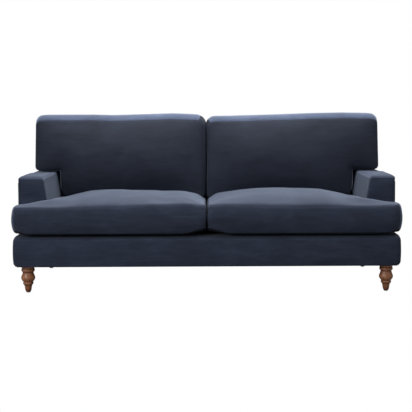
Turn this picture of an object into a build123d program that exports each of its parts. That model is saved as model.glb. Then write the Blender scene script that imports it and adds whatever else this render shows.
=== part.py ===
"""Two-seat sofa with loose T-shaped cushions, short set-back arms and turned wooden legs.

Millimetres. +Z is up, -Y is the front, +X is to the right of someone facing the sofa.
The origin is on the floor, under the middle of the sofa's outer box.
"""

import os
from math import radians, tan

from build123d import *

# ---- Driving dimensions --------------------------------------------------------------------
HALF_WIDTH = 1030  # middle to the fabric on the side of the base and arms
FRONT = -465  # fabric on the front border
REAR = 480  # fabric on the outside back
LEG_HEIGHT = 143
PLATFORM = 306  # top of the sprung platform
ARM_FRONT = -300  # arms stop short of the front, for the T of the seat cushion
ARM_TOP = 608
ARM_INNER_TOP = 892  # middle to the arm's inner face, under its top
ARM_INNER_FOOT = 845  # the same at the platform: the inner pad is a wedge
BACK_TOP = 735
BACK_FACE = 323  # inside back at platform height
BACK_LEAN = 10  # degrees
FABRIC = 2

# ---- Timber frame --------------------------------------------------------------------------
RAIL = 28  # thickness of the rails
FRAME_X = HALF_WIDTH - 6  # timber stops here: 4 of board and 2 of fabric cover it
FRAME_FRONT = FRONT + 16
FRAME_REAR = REAR - 4
RAIL_LOW = LEG_HEIGHT + 3
RAIL_TOP = 280
BLOCK_LEG, BLOCK_HEIGHT = 110, 50
INNER_X = FRAME_X - RAIL
INNER_FRONT = FRAME_FRONT + RAIL
INNER_REAR = FRAME_REAR - RAIL

# ---- Legs ----------------------------------------------------------------------------------
LEG_X = 964
LEG_FRONT_Y = FRONT + 65
LEG_REAR_Y = REAR - 75
GLIDE = 4
BOLT_R, BOLT_HOLE_R = 4.9, 5.1
BOLT_LOW, BOLT_TOP = 88, 202
# Height above the floor and radius, from the toe up to the flare under the rail.
TOE = [(GLIDE, 12.0), (9, 15.0), (30, 19.0), (43, 24.0)]
BEAD = [(43, 24.0), (50, 28.0), (57, 25.5)]
VASE = [(57, 25.5), (66, 32.5), (77, 37.5), (94, 33.5), (110, 29.0)]
COLLAR = [(110, 29.0), (121, 36.0), (130, 33.5)]
FLARE = [(130, 33.5), (137, 35.5), (LEG_HEIGHT, 41.0)]

# ---- Springs and webbing -------------------------------------------------------------------
WIRE_R = 1.9
SPRING_Z = 284
SPRING_XS = [120, 330, 540, 750]
SPRING_HALF = 24
SPRING_ROW = 30.4
SPRING_ROWS = 29
STRAP = 60
STRAP_T = 1.6

# ---- Loose cushions ------------------------------------------------------------------------
GAP = 3  # each side of the meeting line between left and right
COVER_T = 2.2
CORE_INSET = 2.6
SEAT_LOW = PLATFORM + 1
SEAT_SEAM = 470  # height of the top seam
SEAT_CROWN = 515
CROWN_Y = -170
SEAT_TUCK = 480  # the crown falls to this height where the back cushion stands on it
CUSHION_EDGE = 18
SLACK = 0.5  # keeps two crossing outlines from sharing a face
SEAT_NOSE = -480
SEAT_TAIL = 310
SEAT_EAR_X = 1048
BACK_LOW = 483
BACK_CUSHION_TOP = 943
BACK_CUSHION_FACE = 150  # front of the back cushion at its bottom
BACK_CUSHION_CROWN = 22
EAR_LOW = ARM_TOP + 1.5
PLACKET_L, PLACKET_W, PLACKET_D = 600, 14, 8
ZIP_L, ZIP_W, ZIP_T, CHAIN_W, CHAIN_T = 590, 12, 1.0, 4.0, 1.6

LEAN = tan(radians(BACK_LEAN))
SLOPE = (ARM_INNER_TOP - ARM_INNER_FOOT) / (ARM_TOP - PLATFORM)


# ---- Helpers -------------------------------------------------------------------------------
def front_plane(y):
    """A plane facing the front at y, drawn in X and Z. Extruding goes towards the front."""
    return Plane(origin=(0, y, 0), x_dir=(1, 0, 0), z_dir=(0, -1, 0))


def block(xs, ys, zs, mode=Mode.ADD):
    """A square-edged block between pairs of X, Y and Z, added to the part being built."""
    with BuildSketch(Plane.XY.offset(zs[0])) as plan:
        with Locations(((xs[0] + xs[1]) / 2, (ys[0] + ys[1]) / 2)):
            Rectangle(abs(xs[1] - xs[0]), abs(ys[1] - ys[0]))
    extrude(plan.sketch, amount=zs[1] - zs[0], mode=mode)


def side_prism(points, xs, mode=Mode.ADD):
    """An outline in Y and Z, extruded from one X to another."""
    with BuildSketch(Plane.YZ.offset(xs[0])) as outline:
        with BuildLine():
            Polyline(*points, close=True)
        make_face()
    extrude(outline.sketch, amount=xs[1] - xs[0], mode=mode)


def face_y(z):
    """Y of the inside back's fabric at height z."""
    return BACK_FACE + (z - PLATFORM) * LEAN


def arm_inner_x(z):
    """X of the right arm's inner fabric at height z."""
    return ARM_INNER_FOOT + (z - PLATFORM) * SLOPE


def back_band(zs, offsets, xs, mode=Mode.ADD):
    """A slab that follows the lean of the back, between two heights and two depths behind its face."""
    points = [(face_y(z) + d, z) for z, d in [(zs[0], offsets[0]), (zs[1], offsets[0]), (zs[1], offsets[1])]]
    points.append((face_y(zs[0]) + offsets[1], zs[0]))
    side_prism(points, xs, mode)


def write(part, name):
    """Names a finished piece and writes its STEP file."""
    part.label = name
    export_step(part, f"parts/{name}.step")


def mirrored(part):
    """The same piece for the other side of the sofa."""
    with BuildPart() as other:
        mirror(part, about=Plane.YZ)
    return other.part


# ---- Base frame ----------------------------------------------------------------------------
def base_rails():
    """Front, back, side and centre rails, with the bolt holes that hold the arms."""
    heights = (RAIL_LOW, RAIL_TOP)
    with BuildPart() as front_rail:
        block((-FRAME_X, FRAME_X), (FRAME_FRONT, INNER_FRONT), heights)
    write(front_rail.part, "base_front_rail")

    with BuildPart() as back_rail:
        block((-FRAME_X, FRAME_X), (INNER_REAR, FRAME_REAR), heights)
    write(back_rail.part, "base_back_rail")

    with BuildPart() as side_rails:
        block((INNER_X, FRAME_X), (INNER_FRONT, INNER_REAR), heights)
        with Locations(*[Plane(origin=(FRAME_X, y, z), x_dir=(0, 1, 0), z_dir=(1, 0, 0)) for y, z in ARM_BOLTS]):
            CounterBoreHole(radius=4.2, counter_bore_radius=10, counter_bore_depth=6, depth=RAIL)
        mirror(about=Plane.YZ)
    write(side_rails.part, "base_side_rails")

    with BuildPart() as centre_rail:
        block((-RAIL / 2, RAIL / 2), (INNER_FRONT, INNER_REAR), (RAIL_LOW, RAIL_TOP - 30))
    write(centre_rail.part, "base_centre_rail")


def corner_blocks():
    """Triangular blocks in the corners of the base, bored for the leg bolts and their nuts."""
    with BuildPart() as blocks:
        for corner_y, way, leg_y in [(INNER_FRONT, 1, LEG_FRONT_Y), (INNER_REAR, -1, LEG_REAR_Y)]:
            with BuildSketch(Plane.XY.offset(RAIL_LOW)):
                with BuildLine():
                    Polyline(
                        (INNER_X, corner_y),
                        (INNER_X - BLOCK_LEG, corner_y),
                        (INNER_X, corner_y + way * BLOCK_LEG),
                        close=True,
                    )
                make_face()
            extrude(amount=BLOCK_HEIGHT)
            with Locations((LEG_X, leg_y, RAIL_LOW + BLOCK_HEIGHT)):
                CounterBoreHole(radius=BOLT_HOLE_R, counter_bore_radius=6.7, counter_bore_depth=12, depth=BLOCK_HEIGHT)
        mirror(about=Plane.YZ)
    write(blocks.part, "corner_blocks")


# ---- Sprung platform -----------------------------------------------------------------------
SPRING_Y0 = (INNER_FRONT + INNER_REAR - SPRING_ROWS * SPRING_ROW) / 2


def springs():
    """Zigzag wire springs from the front rail to the back rail, level with each other."""
    turn = SPRING_ROW / 2 - 0.1
    with BuildPart() as wires:
        for x in [s * side for side in (-1, 1) for s in SPRING_XS]:
            points = []
            for row in range(SPRING_ROWS + 1):
                way = SPRING_HALF if row % 2 else -SPRING_HALF
                y = SPRING_Y0 + row * SPRING_ROW
                points += [(x + way, y), (x - way, y)]
            with BuildLine(Plane.XY.offset(SPRING_Z)) as line:
                FilletPolyline(*points, radius=turn)
            with BuildSketch(Plane(origin=line.line @ 0, z_dir=line.line % 0)):
                Circle(WIRE_R)
            sweep(path=line.line)
    write(wires.part, "seat_springs")


def spring_clips():
    """Bent steel clips on the front and back rails that hold the spring ends."""
    last = SPRING_Y0 + SPRING_ROWS * SPRING_ROW
    lip = [(-11, 0), (9, 0), (9, 7), (-6, 7), (-6, 6), (8, 6), (8, 1), (-11, 1)]
    with BuildPart() as clips:
        for x in [s * side for side in (-1, 1) for s in SPRING_XS]:
            for y, way in [(SPRING_Y0, 1), (last, -1)]:
                side_prism([(y + way * (u - 5), RAIL_TOP + v) for u, v in lip], (x - 9, x + 9))
    write(clips.part, "spring_clips")


def tie_wires():
    """Straight wires under the springs that keep them evenly spaced."""
    reach = SPRING_XS[-1] + SPRING_HALF + 10
    with BuildPart() as wires:
        for y in (-150, 30, 210):
            with BuildSketch(Plane.YZ.offset(-reach)):
                with Locations((y, SPRING_Z - WIRE_R - 1.6)):
                    Circle(1.5)
            extrude(amount=2 * reach)
    write(wires.part, "spring_tie_wires")


BORDER_DEPTH = 67  # the velvet border turns this far on to the platform
SPRUNG_FRONT = FRONT + BORDER_DEPTH


def deck_layer(low, high, name):
    """One layer of the platform: between the arms, and out to the sides in front of them."""
    inner = ARM_INNER_FOOT - 4
    with BuildPart() as layer:
        block((-inner, inner), (SPRUNG_FRONT + 1, BACK_FACE - 5), (low, high))
        block((1 - FRAME_X, FRAME_X - 1), (SPRUNG_FRONT + 1, ARM_FRONT - 2), (low, high))
    write(layer.part, name)


# ---- Front border --------------------------------------------------------------------------
def border_shape(inset):
    """The base's outer block with rounded front corners, drawn in by inset on its outer faces."""
    with BuildPart() as shape:
        with BuildSketch(Plane.XY.offset(LEG_HEIGHT + 1 + inset)):
            width = HALF_WIDTH - inset
            with BuildLine():
                FilletPolyline(
                    (-width, 0), (-width, FRONT + inset), (width, FRONT + inset), (width, 0),
                    radius=26 - inset,
                )
                Line((width, 0), (-width, 0))
            make_face()
        extrude(amount=PLATFORM - LEG_HEIGHT - 1 - 2 * inset)
        rims = shape.edges().filter_by(lambda e: e.center().Y < ARM_FRONT - 20).group_by(Axis.Z)
        fillet(rims[-1], radius=12 - inset)
    return shape.part


def keep_border():
    """Cuts away all but the front strip and the two short returns beside the arms."""
    inner = FRAME_X
    block((-inner, inner), (SPRUNG_FRONT, 1), (0, 400), Mode.SUBTRACT)
    block((-HALF_WIDTH - 1, HALF_WIDTH + 1), (ARM_FRONT - 1, 1), (0, 400), Mode.SUBTRACT)


def front_border():
    """Foam roll over the front rail, and the velvet border sewn over it."""
    outer, inner = border_shape(0), border_shape(FABRIC)
    with BuildPart() as foam:
        add(inner)
        keep_border()
        block((-FRAME_X, FRAME_X), (FRAME_FRONT, SPRUNG_FRONT), (0, RAIL_TOP), Mode.SUBTRACT)
        block((-FRAME_X, FRAME_X), (FRAME_FRONT + 4, SPRUNG_FRONT), (0, RAIL_TOP + 10), Mode.SUBTRACT)
    write(foam.part, "border_foam")

    with BuildPart() as cover:
        add(outer)
        add(inner, mode=Mode.SUBTRACT)
        keep_border()
        block((-FRAME_X, FRAME_X), (INNER_FRONT, SPRUNG_FRONT), (0, RAIL_TOP), Mode.SUBTRACT)
    write(cover.part, "border_cover")


def dust_cover():
    """Black lining under the base, bored for the leg bolts."""
    with BuildPart() as cloth:
        block((-1016, 1016), (FRONT + 14, REAR - 12), (LEG_HEIGHT, LEG_HEIGHT + 1))
        with Locations(*[(x, y, LEG_HEIGHT + 1) for x, y in leg_places()]):
            Hole(radius=BOLT_HOLE_R)
    write(cloth.part, "dust_cover")


# ---- Legs ----------------------------------------------------------------------------------
def leg_places():
    return [(x, y) for y in (LEG_FRONT_Y, LEG_REAR_Y) for x in (-LEG_X, LEG_X)]


def turned_leg(name, x, y):
    """A leg turned on the lathe: tapered toe, bead, vase, collar and flare."""
    with BuildPart() as leg:
        with BuildSketch(Plane(origin=(x, y, 0), x_dir=(1, 0, 0), z_dir=(0, -1, 0))):
            with BuildLine():
                Line((0, GLIDE), (TOE[0][1], GLIDE))
                for run in (TOE, BEAD, VASE, COLLAR, FLARE):
                    Spline(*[(r, z) for z, r in run])
                Line((FLARE[-1][1], LEG_HEIGHT), (0, LEG_HEIGHT))
                Line((0, LEG_HEIGHT), (0, GLIDE))
            make_face()
        revolve(axis=Axis((x, y, 0), (0, 0, 1)))
        with Locations((x, y, LEG_HEIGHT)):
            Hole(radius=BOLT_HOLE_R, depth=LEG_HEIGHT - BOLT_LOW + 1)
        with Locations(Plane(origin=(x, y, GLIDE), z_dir=(0, 0, -1))):
            Hole(radius=2.1, depth=18)
    write(leg.part, name)


def round_bars(places, sections):
    """The same stepped round bar at each place, from (low, high, radius) sections."""
    with BuildPart() as bars:
        for x, y in places:
            for low, high, radius in sections:
                with BuildSketch(Plane.XY.offset(low)):
                    with Locations((x, y)):
                        Circle(radius)
                extrude(amount=high - low)
    return bars.part


def legs():
    """Four legs, their hanger bolts and nuts, and the nail-on glides they stand on."""
    names = ["leg_front_left", "leg_front_right", "leg_rear_left", "leg_rear_right"]
    for name, (x, y) in zip(names, leg_places()):
        turned_leg(name, x, y)
    write(round_bars(leg_places(), [(BOLT_LOW, BOLT_TOP, BOLT_R)]), "leg_bolts")
    write(round_bars(leg_places(), [(0, GLIDE, 11), (GLIDE, GLIDE + 16, 2.0)]), "leg_glides")
    top = RAIL_LOW + BLOCK_HEIGHT
    bushes = round_bars(leg_places(), [(top - 12, top, 6.5), (top, top + 1.5, 13)])
    with BuildPart() as nuts:
        add(bushes)
        with Locations(*[(x, y, top + 1.5) for x, y in leg_places()]):
            Hole(radius=BOLT_HOLE_R - 0.1)
    write(nuts.part, "leg_nuts")


# ---- Arms ----------------------------------------------------------------------------------
POST_Y = (-268, -208)
ARM_BOLTS = [(-238, 180), (-238, 240)]
ARM_BOARD_X = 908
ARM_FRAME_TOP = ARM_TOP - 18


def arm_shape(inset):
    """The right arm's padded outline from the platform up, drawn in by inset but open below and behind."""
    with BuildPart() as shape:
        with BuildSketch(front_plane(420)):
            with BuildLine():
                FilletPolyline(
                    (arm_inner_x(PLATFORM) + inset, PLATFORM),
                    (ARM_INNER_TOP + inset, ARM_TOP - inset),
                    (HALF_WIDTH - inset, ARM_TOP - inset),
                    (HALF_WIDTH - inset, PLATFORM),
                    radius=24 - inset,
                )
                Line((HALF_WIDTH - inset, PLATFORM), (arm_inner_x(PLATFORM) + inset, PLATFORM))
            make_face()
        extrude(amount=420 - ARM_FRONT - inset)
        front_rim = shape.faces().sort_by(Axis.Y)[0].edges().filter_by(lambda e: e.center().Z > PLATFORM + 1)
        fillet(front_rim, radius=9 - inset)
        side_prism(
            [(face_y(0), 0), (face_y(700), 700), (900, 700), (900, 0)], (0, 1100), Mode.SUBTRACT
        )
    return shape.part


def arm_padding():
    """Foam wrapped over each arm's frame, and the velvet cover with its outside panel down to the base."""
    outer, inner = arm_shape(0), arm_shape(FABRIC)
    with BuildPart() as foam:
        add(inner)
        block((ARM_BOARD_X, HALF_WIDTH), (ARM_FRONT + 14, 500), (0, ARM_FRAME_TOP), Mode.SUBTRACT)
    write(foam.part, "arm_foam_right")
    write(mirrored(foam.part), "arm_foam_left")

    with BuildPart() as cover:
        add(outer)
        add(inner, mode=Mode.SUBTRACT)
        block((HALF_WIDTH - FABRIC, HALF_WIDTH), (ARM_FRONT, REAR), (LEG_HEIGHT + 1, PLATFORM))
        block((HALF_WIDTH - FABRIC, HALF_WIDTH), (ARM_FRONT + 40, REAR), (PLATFORM, ARM_TOP - 26))
        block((HALF_WIDTH - FABRIC, HALF_WIDTH), (face_y(ARM_TOP) - 30, REAR), (ARM_TOP - 26, ARM_TOP))
    write(cover.part, "arm_cover_right")
    write(mirrored(cover.part), "arm_cover_left")


def arm_frames():
    """Timber and board inside the arms. The left and right pieces are alike."""
    back = face_y(ARM_FRAME_TOP) + 24
    with BuildPart() as panels:
        block((ARM_BOARD_X + 4, FRAME_X), (ARM_FRONT + 14, POST_Y[0]), (RAIL_TOP, ARM_FRAME_TOP))
        mirror(about=Plane.YZ)
    write(panels.part, "arm_front_panels")

    with BuildPart() as posts:
        block((INNER_X - RAIL, INNER_X), POST_Y, (RAIL_LOW, ARM_FRAME_TOP - 22))
        with Locations(*[Plane(origin=(INNER_X, y, z), x_dir=(0, 1, 0), z_dir=(1, 0, 0)) for y, z in ARM_BOLTS]):
            Hole(radius=4.2, depth=RAIL)
        mirror(about=Plane.YZ)
    write(posts.part, "arm_front_posts")

    with BuildPart() as top_rails:
        block((ARM_BOARD_X + 4, FRAME_X), (POST_Y[0], back), (ARM_FRAME_TOP - 22, ARM_FRAME_TOP))
        mirror(about=Plane.YZ)
    write(top_rails.part, "arm_top_rails")

    with BuildPart() as tack_rails:
        block((ARM_BOARD_X + 4, ARM_BOARD_X + 4 + RAIL), (POST_Y[0], BACK_FACE), (PLATFORM, PLATFORM + 40))
        mirror(about=Plane.YZ)
    write(tack_rails.part, "arm_tack_rails")

    with BuildPart() as inner_boards:
        block((ARM_BOARD_X, ARM_BOARD_X + 4), (ARM_FRONT + 14, BACK_FACE - 3), (PLATFORM, ARM_FRAME_TOP))
        mirror(about=Plane.YZ)
    write(inner_boards.part, "arm_inner_boards")

    with BuildPart() as outer_boards:
        block((FRAME_X, FRAME_X + 4), (ARM_FRONT + 14, FRAME_REAR), (RAIL_LOW, ARM_TOP - 26))
        mirror(about=Plane.YZ)
    write(outer_boards.part, "arm_outer_boards")


def arm_bolts():
    """Bolts through the side rails into the arm posts, each with its head and nut."""
    inner = INNER_X - RAIL
    with BuildPart() as bolts:
        for y, z in ARM_BOLTS:
            for low, high, radius in [(inner - 12, FRAME_X - 5, 4.0), (FRAME_X - 5, FRAME_X - 0.5, 8.5)]:
                with BuildSketch(Plane.YZ.offset(low)):
                    with Locations((y, z)):
                        Circle(radius)
                extrude(amount=high - low)
            with BuildSketch(Plane.YZ.offset(inner - 7)):
                with Locations((y, z)):
                    RegularPolygon(radius=7.5, side_count=6)
            extrude(amount=7)
        mirror(about=Plane.YZ)
    write(bolts.part, "arm_bolts")


# ---- Back ----------------------------------------------------------------------------------
BACK_FOAM_REAR = 24
POST_FACE = 28
RAIL_ZS = (BACK_TOP - 48, BACK_TOP - 20)


def back_frame():
    """Posts, top rail and tack rails of the back, standing on the base rails."""
    top = RAIL_ZS[0]
    post = [(face_y(RAIL_TOP) + POST_FACE, RAIL_TOP), (face_y(top) + POST_FACE, top)]
    post += [(FRAME_REAR, top), (FRAME_REAR, RAIL_TOP)]
    with BuildPart() as posts:
        side_prism(post, (INNER_X, FRAME_X - 2))
        mirror(about=Plane.YZ)
    write(posts.part, "back_side_posts")

    with BuildPart() as centre_post:
        side_prism(post, (-RAIL / 2, RAIL / 2))
    write(centre_post.part, "back_centre_post")

    with BuildPart() as top_rail:
        block((2 - FRAME_X, FRAME_X - 2), (face_y(RAIL_ZS[1]) + POST_FACE, FRAME_REAR), RAIL_ZS)
    write(top_rail.part, "back_top_rail")

    with BuildPart() as tack_rails:
        back_band((PLATFORM - 8, PLATFORM + 42), (POST_FACE, POST_FACE + RAIL), (RAIL / 2, INNER_X))
        mirror(about=Plane.YZ)
    write(tack_rails.part, "back_tack_rails")

    with BuildPart() as brackets:
        block((INNER_X - 3, INNER_X), (FRAME_REAR - 90, FRAME_REAR - 50), (RAIL_TOP - 60, RAIL_TOP + 60))
        mirror(about=Plane.YZ)
    write(brackets.part, "back_brackets")


def back_webbing():
    """Elastic straps across the back: upright ones in front, level ones behind them."""
    with BuildPart() as straps:
        for n in range(6):
            x = 100 + n * 145
            if x + STRAP / 2 < arm_inner_x(PLATFORM):
                back_band((PLATFORM, RAIL_ZS[0] + 20), (24.2, 24.2 + STRAP_T), (x - STRAP / 2, x + STRAP / 2))
        mirror(about=Plane.YZ)
        for z in (400, 500, 600):
            back_band((z, z + STRAP), (26.0, 26.0 + STRAP_T), (-INNER_X - 20, INNER_X + 20))
    write(straps.part, "back_webbing")


def back_shape(inset):
    """The padded back above and between the arms, drawn in by inset but open below and behind."""
    with BuildPart() as shape:
        low, foot = PLATFORM, arm_inner_x(PLATFORM) - 1 - inset
        neck = arm_inner_x(ARM_TOP) - 1 - inset
        side, step = HALF_WIDTH - inset, ARM_TOP + 0.5 + inset
        with BuildSketch(front_plane(REAR)):
            with BuildLine():
                Polyline(
                    (-foot, low), (-neck, step), (-side, step), (-side, BACK_TOP - inset),
                    (side, BACK_TOP - inset), (side, step), (neck, step), (foot, low), close=True,
                )
            make_face()
            top_corners = [v for v in vertices() if v.Y > BACK_TOP - 10]
            fillet(top_corners, radius=24 - inset)
        extrude(amount=300)
        with BuildSketch(Plane.YZ.offset(-HALF_WIDTH)) as section:
            with BuildLine():
                Polyline(
                    (face_y(low) + inset, low),
                    (face_y(BACK_TOP) + inset, BACK_TOP - inset),
                    (REAR - FABRIC, BACK_TOP - inset),
                    (REAR - FABRIC, low),
                    close=True,
                )
            make_face()
            fillet(section.vertices().sort_by(Axis.X)[1:2], radius=20 - inset)
        extrude(amount=2 * HALF_WIDTH, mode=Mode.INTERSECT)
    return shape.part


def back_padding():
    """Foam and velvet of the inside back, and the board and velvet panel behind."""
    hollow_top = BACK_TOP - 18
    hollow = [(face_y(0) + BACK_FOAM_REAR, 0), (face_y(hollow_top) + BACK_FOAM_REAR, hollow_top)]
    hollow += [(600, hollow_top), (600, 0)]
    outer, inner = back_shape(0), back_shape(FABRIC)
    with BuildPart() as foam:
        add(inner)
        side_prism(hollow, (-1100, 1100), Mode.SUBTRACT)
        block((-1100, 1100), (FRAME_REAR, 600), (0, 900), Mode.SUBTRACT)
    write(foam.part, "back_foam")

    with BuildPart() as cover:
        add(outer)
        add(inner, mode=Mode.SUBTRACT)
        block((-1100, 1100), (FRAME_REAR, 600), (0, BACK_TOP - FABRIC), Mode.SUBTRACT)
        side_prism(hollow, (FABRIC - HALF_WIDTH, HALF_WIDTH - FABRIC), Mode.SUBTRACT)
    write(cover.part, "back_cover")

    with BuildPart() as board:
        block((-FRAME_X, FRAME_X), (FRAME_REAR, REAR - FABRIC), (RAIL_LOW, BACK_TOP - 4))
    write(board.part, "outside_back_board")

    with BuildPart() as outside:
        width = HALF_WIDTH - FABRIC
        with BuildSketch(front_plane(REAR)) as panel:
            with BuildLine():
                Polyline(
                    (-width, LEG_HEIGHT + 1), (width, LEG_HEIGHT + 1), (width, BACK_TOP), (-width, BACK_TOP), close=True
                )
            make_face()
            fillet(panel.vertices().group_by(Axis.Y)[-1], radius=24)
        extrude(amount=FABRIC)
    write(outside.part, "outside_back_cover")


# ---- Loose cushions ------------------------------------------------------------------------
def zip_place(kind):
    """The placket's plane: its origin is the middle of the placket's floor, +Z points out of the cushion."""
    x = -HALF_WIDTH * 0.42
    if kind == "seat":
        middle = (SEAT_LOW + SEAT_SEAM) / 2
        return Plane(origin=(x, SEAT_TAIL - PLACKET_D, middle), x_dir=(1, 0, 0), z_dir=(0, 1, 0))
    middle = (BACK_CUSHION_FACE + face_y(BACK_LOW)) / 2
    return Plane(origin=(x, middle, BACK_LOW + PLACKET_D), x_dir=(1, 0, 0), z_dir=(0, 0, -1))


def strip(place, length, width, heights, mode=Mode.ADD, along=0):
    """A flat bar along the placket, between two heights above its floor."""
    with BuildSketch(place.offset(heights[0])) as plan:
        with Locations((along, 0)):
            Rectangle(length, width)
    extrude(plan.sketch, amount=heights[1] - heights[0], mode=mode)


def rounded_bar(plane, depth, outline, corners, inset):
    """A bar with an outline of straight lines and arcs, some corners rounded, drawn in by inset.

    The outline is a list of point pairs (lines) and point triples (arcs); corners pairs points with radii.
    """
    with BuildPart() as bar:
        with BuildSketch(plane) as section:
            with BuildLine():
                for points in outline:
                    if len(points) == 3:
                        ThreePointArc(*points)
                    else:
                        Line(*points)
            make_face()
            for point, radius in corners:
                fillet(section.vertices().sort_by_distance(point)[0], radius=radius)
            if inset:
                offset(amount=-inset)
        extrude(amount=depth)
    return bar.part


def ring(points):
    """The straight sides that join a run of points and close it."""
    return list(zip(points, points[1:] + points[:1]))


def seat_shape(inset):
    """The left seat cushion: half a T in plan, crowned on top, drawn in by inset on every face."""
    clear = arm_inner_x(SEAT_SEAM) - 4
    ear_rear = ARM_FRONT - 3
    plan = [(-SEAT_EAR_X, SEAT_NOSE), (-GAP, SEAT_NOSE), (-GAP, SEAT_TAIL), (-clear, SEAT_TAIL)]
    plan += [(-clear, ear_rear), (-SEAT_EAR_X, ear_rear)]
    footprint = rounded_bar(
        Plane.XY.offset(SEAT_LOW - 1), 300, ring(plan), list(zip(plan, (44, 24, 24, 24, 6, 34))), inset
    )

    belly = (SEAT_LOW + SEAT_SEAM) / 2
    ear_x, side_x, meet_x = -SEAT_EAR_X - SLACK, 12 - SEAT_EAR_X, SLACK - GAP
    across = [[(side_x, SEAT_LOW), (ear_x, belly), (side_x, SEAT_SEAM)]]
    across += [[(side_x, SEAT_SEAM), ((side_x - GAP) / 2, SEAT_CROWN), (meet_x, SEAT_SEAM)]]
    across += [[(meet_x, SEAT_SEAM), (meet_x, SEAT_LOW)], [(meet_x, SEAT_LOW), (side_x, SEAT_LOW)]]
    round_x = [((x, z), CUSHION_EDGE) for x in (side_x, meet_x) for z in (SEAT_LOW, SEAT_SEAM)]
    from_front = rounded_bar(front_plane(SEAT_TAIL + 10), 900, across, round_x, inset)

    nose_y, tuck_y, tail_y = SEAT_NOSE + 12, BACK_CUSHION_FACE - 20, SEAT_TAIL + SLACK
    along = [[(nose_y, SEAT_LOW), (SEAT_NOSE - SLACK, belly), (nose_y, SEAT_SEAM)]]
    along += [[(nose_y, SEAT_SEAM), (CROWN_Y, SEAT_CROWN), (tuck_y, SEAT_TUCK)]]
    along += [[(tuck_y, SEAT_TUCK), (tail_y, SEAT_TUCK)], [(tail_y, SEAT_TUCK), (tail_y, SEAT_LOW)]]
    along += [[(tail_y, SEAT_LOW), (nose_y, SEAT_LOW)]]
    round_y = [((nose_y, z), CUSHION_EDGE) for z in (SEAT_LOW, SEAT_SEAM)]
    round_y += [((tail_y, z), CUSHION_EDGE) for z in (SEAT_LOW, SEAT_TUCK)]
    from_side = rounded_bar(Plane.YZ.offset(-SEAT_EAR_X - 10), SEAT_EAR_X + 20, along, round_y, inset)

    beyond = -clear - 60
    low_x, high_x = [4 + inset - arm_inner_x(z) for z in (0, 600)]
    wedge = rounded_bar(
        front_plane(SEAT_TAIL + 10),
        SEAT_TAIL + 10 - ear_rear + inset,
        ring([(beyond, 0), (low_x, 0), (high_x, 600), (beyond, 600)]),
        [],
        0,
    )
    with BuildPart() as shape:
        add(footprint)
        add(from_front, mode=Mode.INTERSECT)
        add(from_side, mode=Mode.INTERSECT)
        add(wedge, mode=Mode.SUBTRACT)
        placket(zip_place("seat"), inset)
    return shape.part


def back_cushion_shape(inset):
    """The left back cushion: its upper part reaches out over the arm, drawn in by inset on every face."""
    low, top = BACK_LOW, BACK_CUSHION_TOP
    shoulder = HALF_WIDTH - 1
    outline = [(-shoulder, EAR_LOW), (-shoulder, top), (-GAP, top), (-GAP, low)]
    outline += [(4 - arm_inner_x(low), low), (4 - arm_inner_x(ARM_TOP), EAR_LOW)]
    from_front = rounded_bar(front_plane(REAR), 500, ring(outline), list(zip(outline, (34, 38, 34, 26, 26, 6))), inset)

    under, over = low - SLACK, top + SLACK
    foot, head = (BACK_CUSHION_FACE, under), (BACK_CUSHION_FACE + (top - low) * LEAN, over)
    rear_foot, rear_head = (face_y(low) - 3, under), (face_y(top) - 3, over)
    crown = ((foot[0] + head[0]) / 2 - BACK_CUSHION_CROWN, (low + top) / 2)
    section = [[foot, crown, head], [head, rear_head], [rear_head, rear_foot], [rear_foot, foot]]
    corners = [(foot, 22), (head, 40), (rear_head, 40), (rear_foot, 22)]
    from_side = rounded_bar(Plane.YZ.offset(-HALF_WIDTH), HALF_WIDTH, section, corners, inset)

    with BuildPart() as shape:
        add(from_front)
        add(from_side, mode=Mode.INTERSECT)
        placket(zip_place("back"), inset)
    return shape.part


def placket(place, inset):
    """Cuts the shallow channel that the zip is sewn into."""
    low, high = -inset, PLACKET_D + 4
    strip(place, PLACKET_L + 2 * inset, PLACKET_W + 2 * inset, (low, high), Mode.SUBTRACT)


def cushion(kind, shape):
    """Core, cover, zip and zip slider of one kind of cushion, for the left and the right."""
    place = zip_place(kind)
    outer, inner, filling = shape(0), shape(COVER_T), shape(CORE_INSET)
    with BuildPart() as core:
        add(filling)
    with BuildPart() as cover:
        add(outer)
        add(inner, mode=Mode.SUBTRACT)
        strip(place, ZIP_L - 10, CHAIN_W, (-COVER_T - 1, 1), Mode.SUBTRACT)
    with BuildPart() as zip_chain:
        strip(place, ZIP_L, ZIP_W, (0, ZIP_T))
        strip(place, ZIP_L, CHAIN_W, (ZIP_T, ZIP_T + CHAIN_T))
    start = 24 - ZIP_L / 2
    with BuildPart() as slider:
        strip(place, 14, 9, (ZIP_T + 0.3, ZIP_T + 4.5), along=start)
        strip(place, 16, CHAIN_W + 0.6, (ZIP_T, ZIP_T + CHAIN_T + 0.3), Mode.SUBTRACT, along=start)
        strip(place, 4, 3, (ZIP_T + 4.5, ZIP_T + 5.2), along=start)
        strip(place, 24, 7, (ZIP_T + 5.2, ZIP_T + 6.4), along=start + 8)
    pieces = {"core": core, "cover": cover, "zip": zip_chain, "zip_slider": slider}
    for what, piece in pieces.items():
        write(piece.part, f"{kind}_cushion_{what}_left")
        write(mirrored(piece.part), f"{kind}_cushion_{what}_right")


# ---- The whole sofa ------------------------------------------------------------------------
os.makedirs("parts", exist_ok=True)
base_rails()
corner_blocks()
springs()
spring_clips()
tie_wires()
deck_layer(SPRING_Z + WIRE_R + 1.6, 292, "deck_felt")
deck_layer(292, PLATFORM - 2, "deck_foam")
deck_layer(PLATFORM - 2, PLATFORM, "deck_cloth")
front_border()
dust_cover()
legs()
arm_frames()
arm_padding()
arm_bolts()
back_frame()
back_webbing()
back_padding()
cushion("seat", seat_shape)
cushion("back", back_cushion_shape)
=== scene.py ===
# %% [markdown]
# # A sofa with loose velvet cushions
# This script dresses a CAD model of a sofa. The CAD frame fixes every size and place, in metres, and
# each soft piece here is a surface worked out with numpy inside the space that its CAD solid holds.

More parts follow.
